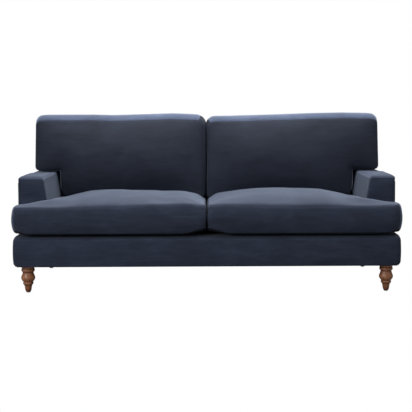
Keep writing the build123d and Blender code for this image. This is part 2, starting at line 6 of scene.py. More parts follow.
import bpy
import numpy as np
from mathutils import Euler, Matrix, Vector


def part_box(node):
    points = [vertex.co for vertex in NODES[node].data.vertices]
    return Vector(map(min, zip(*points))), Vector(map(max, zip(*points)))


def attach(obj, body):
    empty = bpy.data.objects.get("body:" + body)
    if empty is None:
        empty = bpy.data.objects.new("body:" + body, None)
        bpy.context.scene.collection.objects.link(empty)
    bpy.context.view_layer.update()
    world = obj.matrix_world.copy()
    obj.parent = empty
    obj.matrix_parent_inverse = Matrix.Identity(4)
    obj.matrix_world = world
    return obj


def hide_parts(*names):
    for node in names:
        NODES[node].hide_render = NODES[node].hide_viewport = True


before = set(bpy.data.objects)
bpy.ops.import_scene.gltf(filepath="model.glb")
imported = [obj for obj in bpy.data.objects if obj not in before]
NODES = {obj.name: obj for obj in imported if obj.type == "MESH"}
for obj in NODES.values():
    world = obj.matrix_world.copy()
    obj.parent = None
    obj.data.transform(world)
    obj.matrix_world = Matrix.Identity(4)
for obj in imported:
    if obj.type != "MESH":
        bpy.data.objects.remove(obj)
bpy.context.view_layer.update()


# %% [markdown]
# ## Helpers for surfaces
# Every new piece is a grid of quads. It could be pulled into shape by hand, but a formula gives the
# same shape each time and can follow the CAD's sizes. Numpy works out all points of a grid at once,
# and foreach_set copies them into the mesh, which is quicker than making vertices one by one.

# %% Put arrays of points and quads into a mesh
def enclosed_volume(points, quads):
    """Sum of the signed pyramids from the origin to each quad: positive where the faces point outwards."""
    a, b, c, d = (points[quads[:, k]] for k in range(4))
    return float(np.einsum("ij,ij->", (a + b + c + d) / 4, np.cross(c - a, d - b))) / 6


def surface(name, points, quads, seam, material, body="frame"):
    """A smooth velvet object from (n, 3) points and (m, 4) corner numbers; seam is 1 on its seams, where the
    velvet paints shade.
    """
    if enclosed_volume(points, quads) < 0:
        quads = quads[:, ::-1]
    mesh = bpy.data.meshes.new(name)
    mesh.vertices.add(len(points))
    mesh.vertices.foreach_set("co", np.asarray(points, np.float32).ravel())
    mesh.loops.add(quads.size)
    mesh.loops.foreach_set("vertex_index", quads.astype(np.int32).ravel())
    mesh.polygons.add(len(quads))
    mesh.polygons.foreach_set("loop_start", np.arange(0, quads.size, 4, dtype=np.int32))
    mesh.update(calc_edges=True)
    mesh.polygons.foreach_set("use_smooth", np.ones(len(quads), bool))
    # the seam attribute sets the painted shade along the seams
    attribute = mesh.attributes.new("seam", "FLOAT", "POINT")
    attribute.data.foreach_set("value", np.asarray(seam, np.float32))
    mesh.validate()
    piece = bpy.data.objects.new(name, mesh)
    bpy.context.scene.collection.objects.link(piece)
    mesh.materials.append(material)
    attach(piece, body)
    return piece


def add_lit_and_shaded_copies(piece, materials, numbers):
    """More materials after the first, here lit and shaded copies of the velvet that paint light and shade;
    numbers says which one each face wears, 0 being the first.
    """
    for material in materials:
        piece.data.materials.append(material)
    piece.data.polygons.foreach_set("material_index", np.asarray(numbers).astype(np.int32))


def grid_quads(rows, columns):
    """Corner numbers of a rows by columns grid of points."""
    numbers = np.arange(rows * columns).reshape(rows, columns)
    return np.stack(
        [numbers[:-1, :-1], numbers[:-1, 1:], numbers[1:, 1:], numbers[1:, :-1]], axis=-1
    ).reshape(-1, 4)


def smooth_step(low, high, values):
    """0 below low, 1 above high, and 3t^2 - 2t^3 between them."""
    t = np.clip((np.asarray(values, float) - low) / (high - low), 0, 1)
    return t * t * (3 - 2 * t)


def waves(points, scale, seed, count=7):
    """Gentle unevenness from -1 to 1: the mean of a few sine waves in directions drawn from seed."""
    draw = np.random.default_rng(seed)
    directions = draw.normal(size=(count, 3)) * scale
    starts = draw.uniform(0, 2 * np.pi, count)
    return np.sin(points @ directions.T + starts).mean(axis=1) * 1.6


def plan_waves(a, b, scale, seed):
    """The same unevenness over a flat plan with coordinates a and b."""
    return waves(np.column_stack([a, b, 0 * a]), scale, seed)


# %% [markdown]
# ## Boxed cushions
# A boxed cushion is two panels cut to one outline, with a border strip sewn between them. Here the
# panels are grids whose lines follow the outline, so the seams run along mesh edges and stay crisp.

# %% The quad grid of a boxed piece
SEAM_LINE = 0.005  # the first line of the grid beside a seam


def seam_lines(*stops, step=0.0125):
    """Grid lines through the stops, with one more close to each stop on both sides."""
    lines = [np.array([stops[0]])]
    for low, high in zip(stops[:-1], stops[1:]):
        inner_low, inner_high = low + SEAM_LINE, high - SEAM_LINE
        count = max(1, round((inner_high - inner_low) / step))
        lines.append(np.append(np.linspace(inner_low, inner_high, count + 1), high))
    return np.concatenate(lines)


def boxed_grid(s, t, w, keep):
    """A closed grid: a panel on lines s and t at depth w[0], its twin at w[-1], and a border along w.

    keep(s, t) says which cells are cloth. Returns the points as (s, t, w), the quads, which points lie on
    a seam, and the panel's numbering.
    """
    cell_s, cell_t = np.meshgrid((s[:-1] + s[1:]) / 2, (t[:-1] + t[1:]) / 2)
    cells = np.pad(keep(cell_s, cell_t), 1)
    used = cells[:-1, :-1] | cells[:-1, 1:] | cells[1:, :-1] | cells[1:, 1:]
    number = np.where(used, np.cumsum(used.ravel()).reshape(used.shape) - 1, -1)
    rows, columns = np.nonzero(cells[1:-1, 1:-1])
    around = [(0, 0), (0, 1), (1, 1), (1, 0)]
    panel = np.stack([number[rows + up, columns + right] for up, right in around], axis=-1)
    beyond = [(-1, 0), (0, 1), (1, 0), (0, -1)]
    sides = np.concatenate([
        panel[:, [side, (side + 1) % 4]][~cells[rows + 1 + up, columns + 1 + right]]
        for side, (up, right) in enumerate(beyond)
    ])
    mesh_s, mesh_t = np.meshgrid(s, t)
    flat = np.column_stack([mesh_s[used], mesh_t[used]])
    count, rim = len(flat), np.unique(sides[:, 0])
    place = np.full(count, -1)
    place[rim] = np.arange(len(rim))
    between = [2 * count + k * len(rim) + np.arange(len(rim)) for k in range(len(w) - 2)]
    levels = [rim, *between, rim + count]
    a, b = place[sides[:, 0]], place[sides[:, 1]]
    walls = [
        np.stack([above[a], below[a], below[b], above[b]], axis=-1)
        for above, below in zip(levels[:-1], levels[1:])
    ]
    quads = np.concatenate([panel, panel[:, ::-1] + count, *walls])
    points = [np.column_stack([flat, np.full(count, depth)]) for depth in (w[0], w[-1])]
    points += [np.column_stack([flat[rim], np.full(len(rim), depth)]) for depth in w[1:-1]]
    seam = np.zeros(2 * count + (len(w) - 2) * len(rim))
    seam[rim] = 1
    seam[rim + count] = 1
    return np.concatenate(points), quads, seam, number


def round_corners(points, corners):
    """Bends square corners of the (s, t) plan to quarter circles of the given radius.

    Near a corner, u and v run from 0 inside to 1 on the edges, and become
    u sqrt(1 - v^2 / 2) and v sqrt(1 - u^2 / 2), which carries a square on to a disc.
    """
    points = points.copy()
    for s, t, way_s, way_t, radius in corners:
        u = 1 - (points[:, 0] - s) * way_s / radius
        v = 1 - (points[:, 1] - t) * way_t / radius
        near = (u > 0) & (v > 0) & (u <= 1.001) & (v <= 1.001)
        bent_u = u[near] * np.sqrt(1 - v[near] ** 2 / 2)
        bent_v = v[near] * np.sqrt(1 - u[near] ** 2 / 2)
        points[near, 0] = s + way_s * radius * (1 - bent_u)
        points[near, 1] = t + way_t * radius * (1 - bent_v)
    return points


def crown_of(number, power, s, t, rounds=3000):
    """Height of a stretched skin over the panel, from 0 on its seams to 1.

    It solves the Poisson equation: each point takes the mean of its four neighbours, weighted by how near
    they are, plus the push of the filling.
    """
    inside = np.pad(number >= 0, 1)
    edge = np.zeros_like(inside)
    for shift_t in (-1, 0, 1):
        for shift_s in (-1, 0, 1):
            edge |= ~np.roll(np.roll(inside, shift_t, 0), shift_s, 1)
    free = (inside & ~edge)[1:-1, 1:-1]
    gaps = [np.diff(line, prepend=line[0] - 1, append=line[-1] + 1) for line in (s, t)]
    pull = [
        2 / (gap[side:len(gap) - 1 + side] * (gap[:-1] + gap[1:])) for gap in gaps for side in (0, 1)
    ]
    left, right, down, up = pull[0][None], pull[1][None], pull[2][:, None], pull[3][:, None]
    total = left + right + down + up
    height = np.zeros(number.shape)
    for _ in range(rounds):
        height = np.where(free, (
            left * np.roll(height, 1, 1) + right * np.roll(height, -1, 1)
            + down * np.roll(height, 1, 0) + up * np.roll(height, -1, 0) + 1
        ) / total, 0)
    return (height / height.max())[number >= 0] ** power


def one_long(arrows, least=1e-12):
    """Arrows scaled to a length of 1; least keeps a missing arrow from a division by zero."""
    return arrows / np.maximum(np.linalg.norm(arrows, axis=1, keepdims=True), least)


def normals_of(points, quads):
    """Outward direction at each point: the sum of its quads' normals, made one long."""
    corner = points[quads]
    face = np.cross(corner[:, 2] - corner[:, 0], corner[:, 3] - corner[:, 1])
    total = np.zeros_like(points)
    np.add.at(total, quads.ravel(), np.repeat(face, 4, axis=0))
    return one_long(total)


def border_directions(points, quads, upright):
    """Outward directions of a cushion's border, level with its panels; upright is the axis across them."""
    out = normals_of(points, quads)
    out[:, upright] = 0
    return one_long(out, 1e-9)


print("grid lines of a 1 m panel:", len(seam_lines(0.0, 1.0)))


# %% [markdown]
# ## Stuffing by simulation
# A cushion swells because its filling pushes on the cloth. Blender's Cloth does the same with pressure
# and no gravity. It could run free, but then the pull of the cloth draws the outline in, so the seams
# are pinned with a vertex group. Each point may move only a little, so the cushion keeps its place.

# %% Read and write a mesh's points
def read_points(mesh):
    """All points of a mesh as an (n, 3) array."""
    values = np.empty(len(mesh.vertices) * 3, np.float32)
    mesh.vertices.foreach_get("co", values)
    return values.reshape(-1, 3).astype(float)


def write_points(piece, points):
    """Puts an (n, 3) array back into the piece's mesh."""
    piece.data.vertices.foreach_set("co", np.asarray(points, np.float32).ravel())
    piece.data.update()


# %% Inflate a cushion
PRESSURE, FRAMES, SMOOTHINGS = 4.0, 20, 8


def inflate(piece, quads, seam, cap):
    """Runs Cloth on the piece and keeps the result, with no point moved more than cap.

    The seams are held where they were sewn, so the panels swell between them. Small creases are evened
    out: again and again, each point's move becomes the mean of its own and its neighbours' mean.
    """
    start = read_points(piece.data)
    cloth = piece.modifiers.new("stuffing", "CLOTH")
    held = piece.vertex_groups.new(name="held")
    held.add(np.flatnonzero(seam > 0.5).tolist(), 1.0, "REPLACE")
    cloth.settings.vertex_group_mass = "held"
    cloth.settings.quality = 4
    cloth.settings.mass = 0.35
    cloth.settings.tension_stiffness = 25
    cloth.settings.compression_stiffness = 25
    cloth.settings.shear_stiffness = 12
    cloth.settings.bending_stiffness = 2.0
    cloth.settings.use_pressure = True
    cloth.settings.uniform_pressure_force = PRESSURE
    cloth.settings.effector_weights.gravity = 0
    cloth.collision_settings.use_collision = False
    cloth.point_cache.frame_start, cloth.point_cache.frame_end = 1, FRAMES
    for number in range(1, FRAMES + 1):
        bpy.context.scene.frame_set(number)
    move = read_points(piece.evaluated_get(bpy.context.evaluated_depsgraph_get()).data) - start
    piece.modifiers.remove(cloth)
    piece.vertex_groups.remove(held)
    bpy.context.scene.frame_set(1)
    length = np.linalg.norm(move, axis=1, keepdims=True)
    move *= np.minimum(1, cap / np.maximum(length, 1e-9))
    ends = np.concatenate([quads[:, [k, (k + 1) % 4]] for k in range(4)])
    ends = np.concatenate([ends, ends[:, ::-1]])
    share = np.bincount(ends[:, 0], minlength=len(start))[:, None]
    for _ in range(SMOOTHINGS):
        near = [np.bincount(ends[:, 0], move[ends[:, 1], k], len(start)) for k in range(3)]
        move = np.where(seam[:, None] > 0.5, move, (np.column_stack(near) / share + move) / 2)
    write_points(piece, start + move)
    print(piece.name, "swelled by up to", round(float(length.max()) * 1000, 1), "mm, cap", cap * 1000)


def refine(piece):
    """One subdivision, with the same level on screen and in the render."""
    smooth = piece.modifiers.new("smooth", "SUBSURF")
    smooth.levels = smooth.render_levels = 1
    return piece


# %% [markdown]
# ## Materials
# Velvet is a dark cloth with a short dense pile. Seen along the surface the pile's tips catch the
# light, which the Sheen of the Principled shader gives, and brushed patches differ a little in tone.
# One function makes all the velvets, with a lightness and a sheen for each. Besides the plain cloth they are
# lighter and darker copies of it, which paint light and shade on the faces that wear them.

# %% A small builder for node materials
def new_material(name, roughness, metallic=0.0, **extra):
    """A material with one Principled shader. The rest of its nodes are added by the caller."""
    material = bpy.data.materials.new(name)
    material.use_nodes = True
    nodes, links = material.node_tree.nodes, material.node_tree.links
    shader = nodes["Principled BSDF"]
    shader.inputs["Roughness"].default_value = roughness
    shader.inputs["Metallic"].default_value = metallic
    for socket, value in extra.items():
        shader.inputs[socket.replace("_", " ")].default_value = value
    coords = nodes.new("ShaderNodeTexCoord").outputs["Object"]
    return material, nodes, links, shader, coords


def noise(nodes, links, coords, scale, detail=3.0, distortion=0.0, stretch=(1, 1, 1)):
    """A noise texture's value, on coordinates that may be stretched along the axes."""
    mapping = nodes.new("ShaderNodeMapping")
    mapping.inputs["Scale"].default_value = stretch
    links.new(coords, mapping.inputs["Vector"])
    texture = nodes.new("ShaderNodeTexNoise")
    texture.inputs["Scale"].default_value = scale
    texture.inputs["Detail"].default_value = detail
    texture.inputs["Distortion"].default_value = distortion
    links.new(mapping.outputs["Vector"], texture.inputs["Vector"])
    return texture.outputs["Fac"]


def ramp(nodes, links, value, stops):
    """A colour ramp through (place, colour) stops."""
    node = nodes.new("ShaderNodeValToRGB")
    node.color_ramp.elements[0].position, node.color_ramp.elements[-1].position = stops[0][0], stops[-1][0]
    node.color_ramp.elements[0].color = (*stops[0][1], 1)
    node.color_ramp.elements[-1].color = (*stops[-1][1], 1)
    for place, colour in stops[1:-1]:
        node.color_ramp.elements.new(place).color = (*colour, 1)
    links.new(value, node.inputs["Fac"])
    return node.outputs["Color"]


def blend_colours(nodes, links, mode, amount, first, second):
    """Mixes two colours; amount is a number or a socket."""
    node = nodes.new("ShaderNodeMix")
    node.data_type, node.blend_type = "RGBA", mode
    for socket, value in ((0, amount), (6, first), (7, second)):
        if isinstance(value, bpy.types.NodeSocket):
            links.new(value, node.inputs[socket])
        else:
            node.inputs[socket].default_value = value
    return node.outputs[2]


def add_bump(nodes, links, shader, layers):
    """Stacks bumps, each a (height, strength, distance in metres)."""
    normal = None
    for height, strength, distance in layers:
        node = nodes.new("ShaderNodeBump")
        node.inputs["Strength"].default_value = strength
        node.inputs["Distance"].default_value = distance
        links.new(height, node.inputs["Height"])
        if normal is not None:
            links.new(normal, node.inputs["Normal"])
        normal = node.outputs["Normal"]
    links.new(normal, shader.inputs["Normal"])


# %% Velvet
VELVET_SHADES = [(0.0190, 0.0255, 0.0440), (0.0235, 0.0310, 0.0530), (0.0300, 0.0390, 0.0640)]
VELVET_SHEEN = (0.67, 0.785, 0.98, 1)


def velvet_material(name, lightness, sheen):
    """Broad patches, streaky marks and fine pile over the cloth's colour, with painted shade along the seams.
    """
    material, nodes, links, shader, coords = new_material(
        name, 0.82, Sheen_Weight=sheen, Sheen_Roughness=0.36, Sheen_Tint=VELVET_SHEEN, Specular_IOR_Level=0.18
    )
    shades = [tuple(c * lightness for c in colour) for colour in VELVET_SHADES]
    patches = noise(nodes, links, coords, 5.0, 7.0, 0.6, (1.0, 1.0, 1.8))
    cloudy = ramp(nodes, links, patches, [(0.32, shades[0]), (0.52, shades[1]), (0.72, shades[2])])
    marks = noise(nodes, links, coords, 26.0, 6.0, 0.9, (0.35, 0.6, 1.8))
    marked = blend_colours(nodes, links, "MULTIPLY", 0.60, cloudy, ramp(
        nodes, links, marks, [(0.30, (0.74, 0.74, 0.76)), (0.70, (1.24, 1.24, 1.22))]
    ))
    pile = noise(nodes, links, coords, 950.0, 2.0)
    piled = blend_colours(nodes, links, "MULTIPLY", 0.6, marked, ramp(
        nodes, links, pile, [(0.32, (0.60, 0.60, 0.62)), (0.68, (1.35, 1.35, 1.33))]
    ))
    # painted shade: the seam attribute darkens the colour along the seams
    seam = nodes.new("ShaderNodeAttribute")
    seam.attribute_name = "seam"
    seam_shaded = blend_colours(nodes, links, "MULTIPLY", seam.outputs["Fac"], piled, (0.70, 0.70, 0.72, 1))
    links.new(seam_shaded, shader.inputs["Base Color"])
    add_bump(nodes, links, shader, [(marks, 0.22, 0.0022), (pile, 0.35, 0.0005)])
    return material


# the copies below paint light and shade: each lightness and sheen stands in for the light on the faces that
# wear it
VELVET = velvet_material("slate_velvet", 1.0, 0.56)
# the frame's copy, a little lighter: painted light on the frame
BODY_VELVET = velvet_material("slate_velvet_on_frame", 1.08, 0.34)
# painted shade inside the arms
ARM_SHADE_VELVET = velvet_material("slate_velvet_shaded_arm_inside", 0.78, 0.12)
# painted shade on the back cushions' fronts
SHADY_VELVET = velvet_material("slate_velvet_shaded_front", 0.50, 0.38)
# painted highlight on the back cushions' upward borders and the seats' outer ends
LIT_VELVET = velvet_material("slate_velvet_lit", 1.85, 0.72)
# painted shade on the back cushions' walls where they meet, near the front
GAP_SHADE_VELVET = velvet_material("slate_velvet_shaded_by_gap", 0.62, 0.07)
# deep painted shade where the cushions meet and under the seats
DEEP_SHADE_VELVET = velvet_material("slate_velvet_deep_shade", 0.35, 0.03)
print("velvets:", [material.name for material in bpy.data.materials if "velvet" in material.name])


# %% [markdown]
# ## Seat cushions
# Half a T in plan: each wraps round the front of its arm. The top is crowned, the front edge rises a
# little towards the middle of the sofa, and the lower corners are drawn up. A subdivided box could not
# follow the notch with a crisp seam, so both panels share one grid whose lines lie on the outline.

# %% Sizes read from the CAD frame
seat_low, seat_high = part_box("seat_cushion_cover_left")
arm_low, arm_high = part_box("arm_cover_left")
MEET_X = seat_high.x
EAR_X = seat_low.x
NOSE_Y, TAIL_Y = seat_low.y, seat_high.y
EAR_REAR = arm_low.y - 0.003
SEAT_FLOOR = seat_low.z
ARM_FOOT_X, ARM_NECK_X, ARM_FOOT_Z, ARM_TOP_Z = 0.845, 0.892, 0.306, arm_high.z
ARM_SLOPE = (ARM_NECK_X - ARM_FOOT_X) / (ARM_TOP_Z - ARM_FOOT_Z)
ZIP_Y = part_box("seat_cushion_zip_left")[0].y


def arm_face(z):
    """How far from the middle of the sofa the arm's leaning inner face is at height z."""
    return ARM_FOOT_X + ARM_SLOPE * (z - ARM_FOOT_Z)


print("seat cushion from", EAR_X, "to", MEET_X, "zip at", round(ZIP_Y, 4))


# %% Shape of a seat cushion
SEAM_TOP_OUTER, SEAM_LOW = 0.463, 0.322
# height of the top front seam along X, from the middle of the sofa outwards
SEAM_TOP = {
    "left": ([0.0, 0.12, 0.30, 0.45, 0.67, 1.03], [0.472, 0.480, 0.476, 0.466, 0.461, 0.463]),
    "right": (
        [0.0, 0.07, 0.12, 0.23, 0.33, 0.49, 0.60, 0.90, 1.03],
        [0.472, 0.476, 0.475, 0.471, 0.467, 0.461, 0.463, 0.464, 0.469],
    ),
}
SEAT_CROWN, SEAT_BULGE = 0.045, 0.011
# share of the crown along X, from the middle of the sofa outwards
FULLNESS = {
    "left": ([0.0, 0.12, 0.25, 0.35, 0.48, 0.67, 0.80], [1.06, 0.86, 0.74, 0.88, 1.17, 1.26, 0.82]),
    "right": ([0.0, 0.12, 0.28, 0.41, 0.55, 0.65, 0.80], [0.98, 0.99, 1.32, 1.41, 1.40, 1.38, 0.82]),
}
SEAT_SIDE_X = -arm_face(SEAM_TOP_OUTER) + 0.006
SEAT_REAR_Y = ZIP_Y - 0.0015
UNDER_BACK_Z = 0.482  # the seats stay under this where the back cushions stand on them


def seat_cushion(side, seed):
    """Left is worked out and right is its mirror in plan; each has its own unevenness.

    z of the upper panel = seam height + crown height x skin^0.5, less towards the back, where the back
    cushion stands on it. The border bulges by a parabola between its seams.
    """
    front, ear, ear_rear = NOSE_Y + SEAT_BULGE, EAR_X + SEAT_BULGE, EAR_REAR - 0.004
    meet, rear = MEET_X + 0.0005, SEAT_REAR_Y
    s = seam_lines(ear, SEAT_SIDE_X, meet)
    t = seam_lines(front, ear_rear, rear)
    w = seam_lines(0.0, 1.0, step=0.11)
    w[1], w[-2] = 0.035, 0.965
    grid, quads, seam, number = boxed_grid(s, t, w, lambda x, y: (x > SEAT_SIDE_X) | (y < ear_rear))
    crown = crown_of(number, 0.5, s, t)
    plan = round_corners(grid, [
        (ear, front, 1, 1, 0.058), (meet, front, -1, 1, 0.034), (meet, rear, -1, -1, 0.03),
        (SEAT_SIDE_X, rear, 1, -1, 0.03), (ear, ear_rear, 1, -1, 0.04),
    ])
    x, y, depth = plan.T
    count = number.max() + 1
    upper = np.interp(-x, *SEAM_TOP[side])
    upper -= 0.012 * smooth_step(-0.05, 0.18, y)
    upper -= 0.018 * smooth_step(-0.42, -0.05, y) * smooth_step(-0.06, -0.003, x)
    beside_arm = smooth_step(-1.0, -0.87, x) * (1 - smooth_step(-0.86, -0.71, x))
    upper += 0.020 * beside_arm * smooth_step(-0.43, -0.32, y) * (1 - smooth_step(-0.28, -0.02, y))
    upper += 0.0025 * plan_waves(x, y, 9, seed)
    lower = SEAM_LOW + 0.028 * (1 - smooth_step(0.0, 0.125, np.hypot(x - meet, y - front)))
    for corner_y in (front, EAR_REAR):
        lower += 0.022 * (1 - smooth_step(0.0, 0.085, np.hypot(x - ear, y - corner_y)))
    z = upper + (lower - upper) * depth
    top = slice(0, count)
    sag = 1 - 0.55 * smooth_step(0.02, 0.16, y[top])
    lift = SEAT_CROWN * crown * sag * (1 + 0.05 * waves(plan[top] * (1, 1, 0), 6, seed + 1))
    lift *= np.interp(-x[top], *FULLNESS[side])
    z[top] += lift
    under = slice(count, 2 * count)
    z[under] -= 0.0155 * crown ** 0.5 + (z[under] - SEAM_LOW) * crown ** 0.9
    points = np.column_stack([x, y, z])
    block = np.column_stack([x, y, 0 * x]) + (0, 0, 1) * (1 - depth[:, None]) * 0.14
    out = border_directions(block, quads, 2)
    wall = slice(2 * count, None)
    free = np.where((y > front + 0.02) & (x > ear + 0.02), 0.15, 1.0)
    bulge = SEAT_BULGE * 4 * depth * (1 - depth) * free
    points[wall] += out[wall] * bulge[wall, None]
    points[wall, 2] -= 0.004 * np.sin(np.pi * depth[wall])
    # the side against the arm leans with the arm's padding
    beside = (y > EAR_REAR) & (x < SEAT_SIDE_X + 0.12)
    lean = (SEAM_TOP_OUTER - points[:, 2]) * ARM_SLOPE * (1 - smooth_step(0, 0.12, x - SEAT_SIDE_X))
    points[:, 0] += np.where(beside & (points[:, 2] < SEAM_TOP_OUTER), lean, 0)
    if side == "right":
        points[:, 0] *= -1
        quads = quads[:, ::-1]
    name = f"seat_cushion_{side}"
    piece = surface(name, points, quads, seam, VELVET, name)
    # painted shade where the two cushions press together and underneath, and a painted highlight on the outer
    # end
    first, last = quads.min(axis=1), quads.max(axis=1)
    middle = points[quads].mean(axis=1)
    meeting = (np.abs(middle[:, 0]) < 0.0065) & (middle[:, 1] > NOSE_Y + 0.012)
    underside = (first >= count) & (last < 2 * count)
    outer_end = (last >= 2 * count) & (np.abs(middle[:, 0]) > -ear - 0.010)
    lit_or_shaded = np.where(meeting | underside, 1, np.where(outer_end, 2, 0))
    add_lit_and_shaded_copies(piece, (DEEP_SHADE_VELVET, LIT_VELVET), lit_or_shaded)
    return piece, quads, seam


def finish_seat(piece, quads, seam):
    """Clears the neighbours, then sinks the seams."""
    points = read_points(piece.data)
    points -= normals_of(points, quads) * (0.0028 * seam)[:, None]
    away = np.abs(points[:, 0])
    points[:, 2] = np.maximum(points[:, 2], SEAT_FLOOR + 0.0008)
    points[:, 0] = np.sign(points[:, 0]) * np.clip(away, 0.0022, -EAR_X + 0.004)
    points[:, 1] = np.clip(points[:, 1], NOSE_Y - 0.004, SEAT_REAR_Y)
    behind = points[:, 1] > EAR_REAR + 0.002
    face = arm_face(points[:, 2]) - 0.0012
    beside = behind & (np.abs(points[:, 0]) > face)
    points[beside, 0] = np.sign(points[beside, 0]) * face[beside]
    under_back = smooth_step(0.10, 0.16, points[:, 1])
    points[:, 2] = np.minimum(points[:, 2], 0.60 - (0.60 - UNDER_BACK_Z) * under_back)
    write_points(piece, points)
    refine(piece)


SEATS = {side: seat_cushion(side, seed) for side, seed in (("left", 3), ("right", 8))}
for side, (piece, quads, seam) in SEATS.items():
    inflate(piece, quads, seam, 0.005)
    finish_seat(piece, quads, seam)
    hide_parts(f"seat_cushion_core_{side}", f"seat_cushion_cover_{side}")


# %% [markdown]
# ## Back cushions
# They lean on the sofa's back, and their upper parts reach out over the arms. The filling is softer,
# so the top edge wavers and the front is full. The same grid is used standing up, and the lower front
# edge sinks until it rests on the seat.

# %% Shape of a back cushion
back_low, back_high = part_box("back_cushion_cover_left")
LEAN = np.tan(np.radians(10))
BACK_FOOT, BACK_HEAD = back_low.z, back_high.z
BACK_OUTER_X = back_low.x
BACK_FRONT_Y, BACK_THICK = 0.150, 0.189
EAR_Z = ARM_TOP_Z + 0.0035
ZIP_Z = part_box("back_cushion_zip_left")[1].z
BACK_CROWN = 0.056
# how far the border swells past the front seam where the two cushions meet
BACK_SEAM_IN = {"left": 0.021, "right": 0.008}
BACK_OUTER_IN = {"left": 0.0125, "right": 0.0085}
# height of the top edge above the plain outline, along X from the outside to the middle
TOP_LINE = {
    "left": (
        [-1.03, -0.95, -0.68, -0.56, -0.45, -0.20, -0.06, 0.0],
        [-0.002, 0.002, 0.001, -0.003, 0.0, 0.007, 0.001, -0.004],
    ),
    "right": (
        [-1.03, -0.97, -0.82, -0.62, -0.38, -0.15, -0.05, 0.0],
        [-0.001, 0.004, 0.007, 0.004, -0.004, -0.009, -0.010, -0.012],
    ),
}


def sink(out_from_middle):
    """How far the front's lower edge sinks on to the seat, beside the arm and where the cushions meet."""
    beside_arm = 0.016 * smooth_step(0.55, 0.80, out_from_middle)
    return beside_arm + 0.034 * smooth_step(-0.20, 0.0, -out_from_middle)




def back_cushion(side, seed):
    """The front panel is crowned, the back one lies nearly flat on the sofa's back.

    s is across, t is up, and depth runs from the front panel to the back one, leaning by 10 degrees.
    """
    outer, meet = BACK_OUTER_X + BACK_OUTER_IN[side], MEET_X - BACK_SEAM_IN[side]
    low, top = ZIP_Z + 0.0015, BACK_HEAD - 0.029
    notch = -arm_face(EAR_Z) + 0.025
    ear = EAR_Z + 0.0065
    s = seam_lines(outer, notch, meet)
    t = seam_lines(low, ear, top)
    w = seam_lines(0.0, 1.0, step=0.09)
    w[1], w[-2] = 0.03, 0.97
    grid, quads, seam, number = boxed_grid(s, t, w, lambda x, z: (x > notch) | (z > ear))
    crown = crown_of(number, 0.80, s, t)
    plan = round_corners(grid, [
        (outer, top, 1, -1, 0.026), (meet, top, -1, -1, 0.036), (outer, ear, 1, 1, 0.024),
        (meet, low, -1, 1, 0.012), (notch, low, 1, 1, 0.03),
    ])
    x, z, depth = plan.T.copy()
    count = number.max() + 1
    z += smooth_step(0.70, 0.93, z) * np.interp(x, *TOP_LINE[side])
    y = BACK_FRONT_Y + 0.016 + (z - BACK_FOOT) * LEAN + depth * (BACK_THICK - 0.030)
    y += 0.003 * plan_waves(x, z, 8, seed) * (1 - depth)
    front, behind = slice(0, count), slice(count, 2 * count)
    fuller = 1 - 0.10 * smooth_step(0.75, 0.95, z[front])
    y[front] -= BACK_CROWN * crown * fuller * (1 + 0.12 * waves(plan[front] * (1, 1, 0), 6, seed + 1))
    y[behind] += 0.010 * crown ** 0.26
    block = np.column_stack([x, 0 * x, z]) + np.array([[0, 1, 0]]) * depth[:, None] * 0.15
    out = border_directions(block, quads, 1)
    wall = slice(2 * count, None)
    swell = np.where(out[:, 0] > 0, BACK_SEAM_IN[side] + 0.0065, 0.010) * out[:, 0] ** 2
    swell += np.where(out[:, 2] > 0, 0.0335, 0.004) * out[:, 2] ** 2
    bulge = swell * (4 * depth * (1 - depth)) ** 0.8
    points = np.column_stack([x, y, z])
    points[wall] += (out * bulge[:, None])[wall]
    droop = (1 - smooth_step(0.12, 0.36, depth)) * (1 - smooth_step(0.50, 0.56, z))
    points[:, 2] -= (ZIP_Z - BACK_FOOT + sink(-x)) * droop
    off_arm = 0.014 * smooth_step(0.80, 0.84, -x) * (1 - smooth_step(0.47, 0.60, z))
    points[:, 0] += off_arm * (1 - smooth_step(0.0, 0.5, depth))
    if side == "right":
        points[:, 0] *= -1
        quads = quads[:, ::-1]
    name = f"back_cushion_{side}"
    piece = surface(name, points, quads, seam, VELVET, name)
    # painted shade on the front panel, a painted highlight on the borders that face up, and painted shade on
    # the walls where the cushions meet, deepest further back
    first, last, facing = quads.min(axis=1), quads.max(axis=1), out[quads].mean(axis=1)
    border = (last >= 2 * count) | ((first < count) & (last >= count))
    meeting = border & (facing[:, 0] > 0.5)
    deep = depth[quads].mean(axis=1) > 0.16
    lit_border = border & (facing[:, 2] > 0.5)
    lit_or_shaded = np.select([meeting & deep, meeting, lit_border, last < count], [3, 4, 2, 1], 0)
    add_lit_and_shaded_copies(piece, (SHADY_VELVET, LIT_VELVET, DEEP_SHADE_VELVET, GAP_SHADE_VELVET), lit_or_shaded)
    return piece, quads, seam


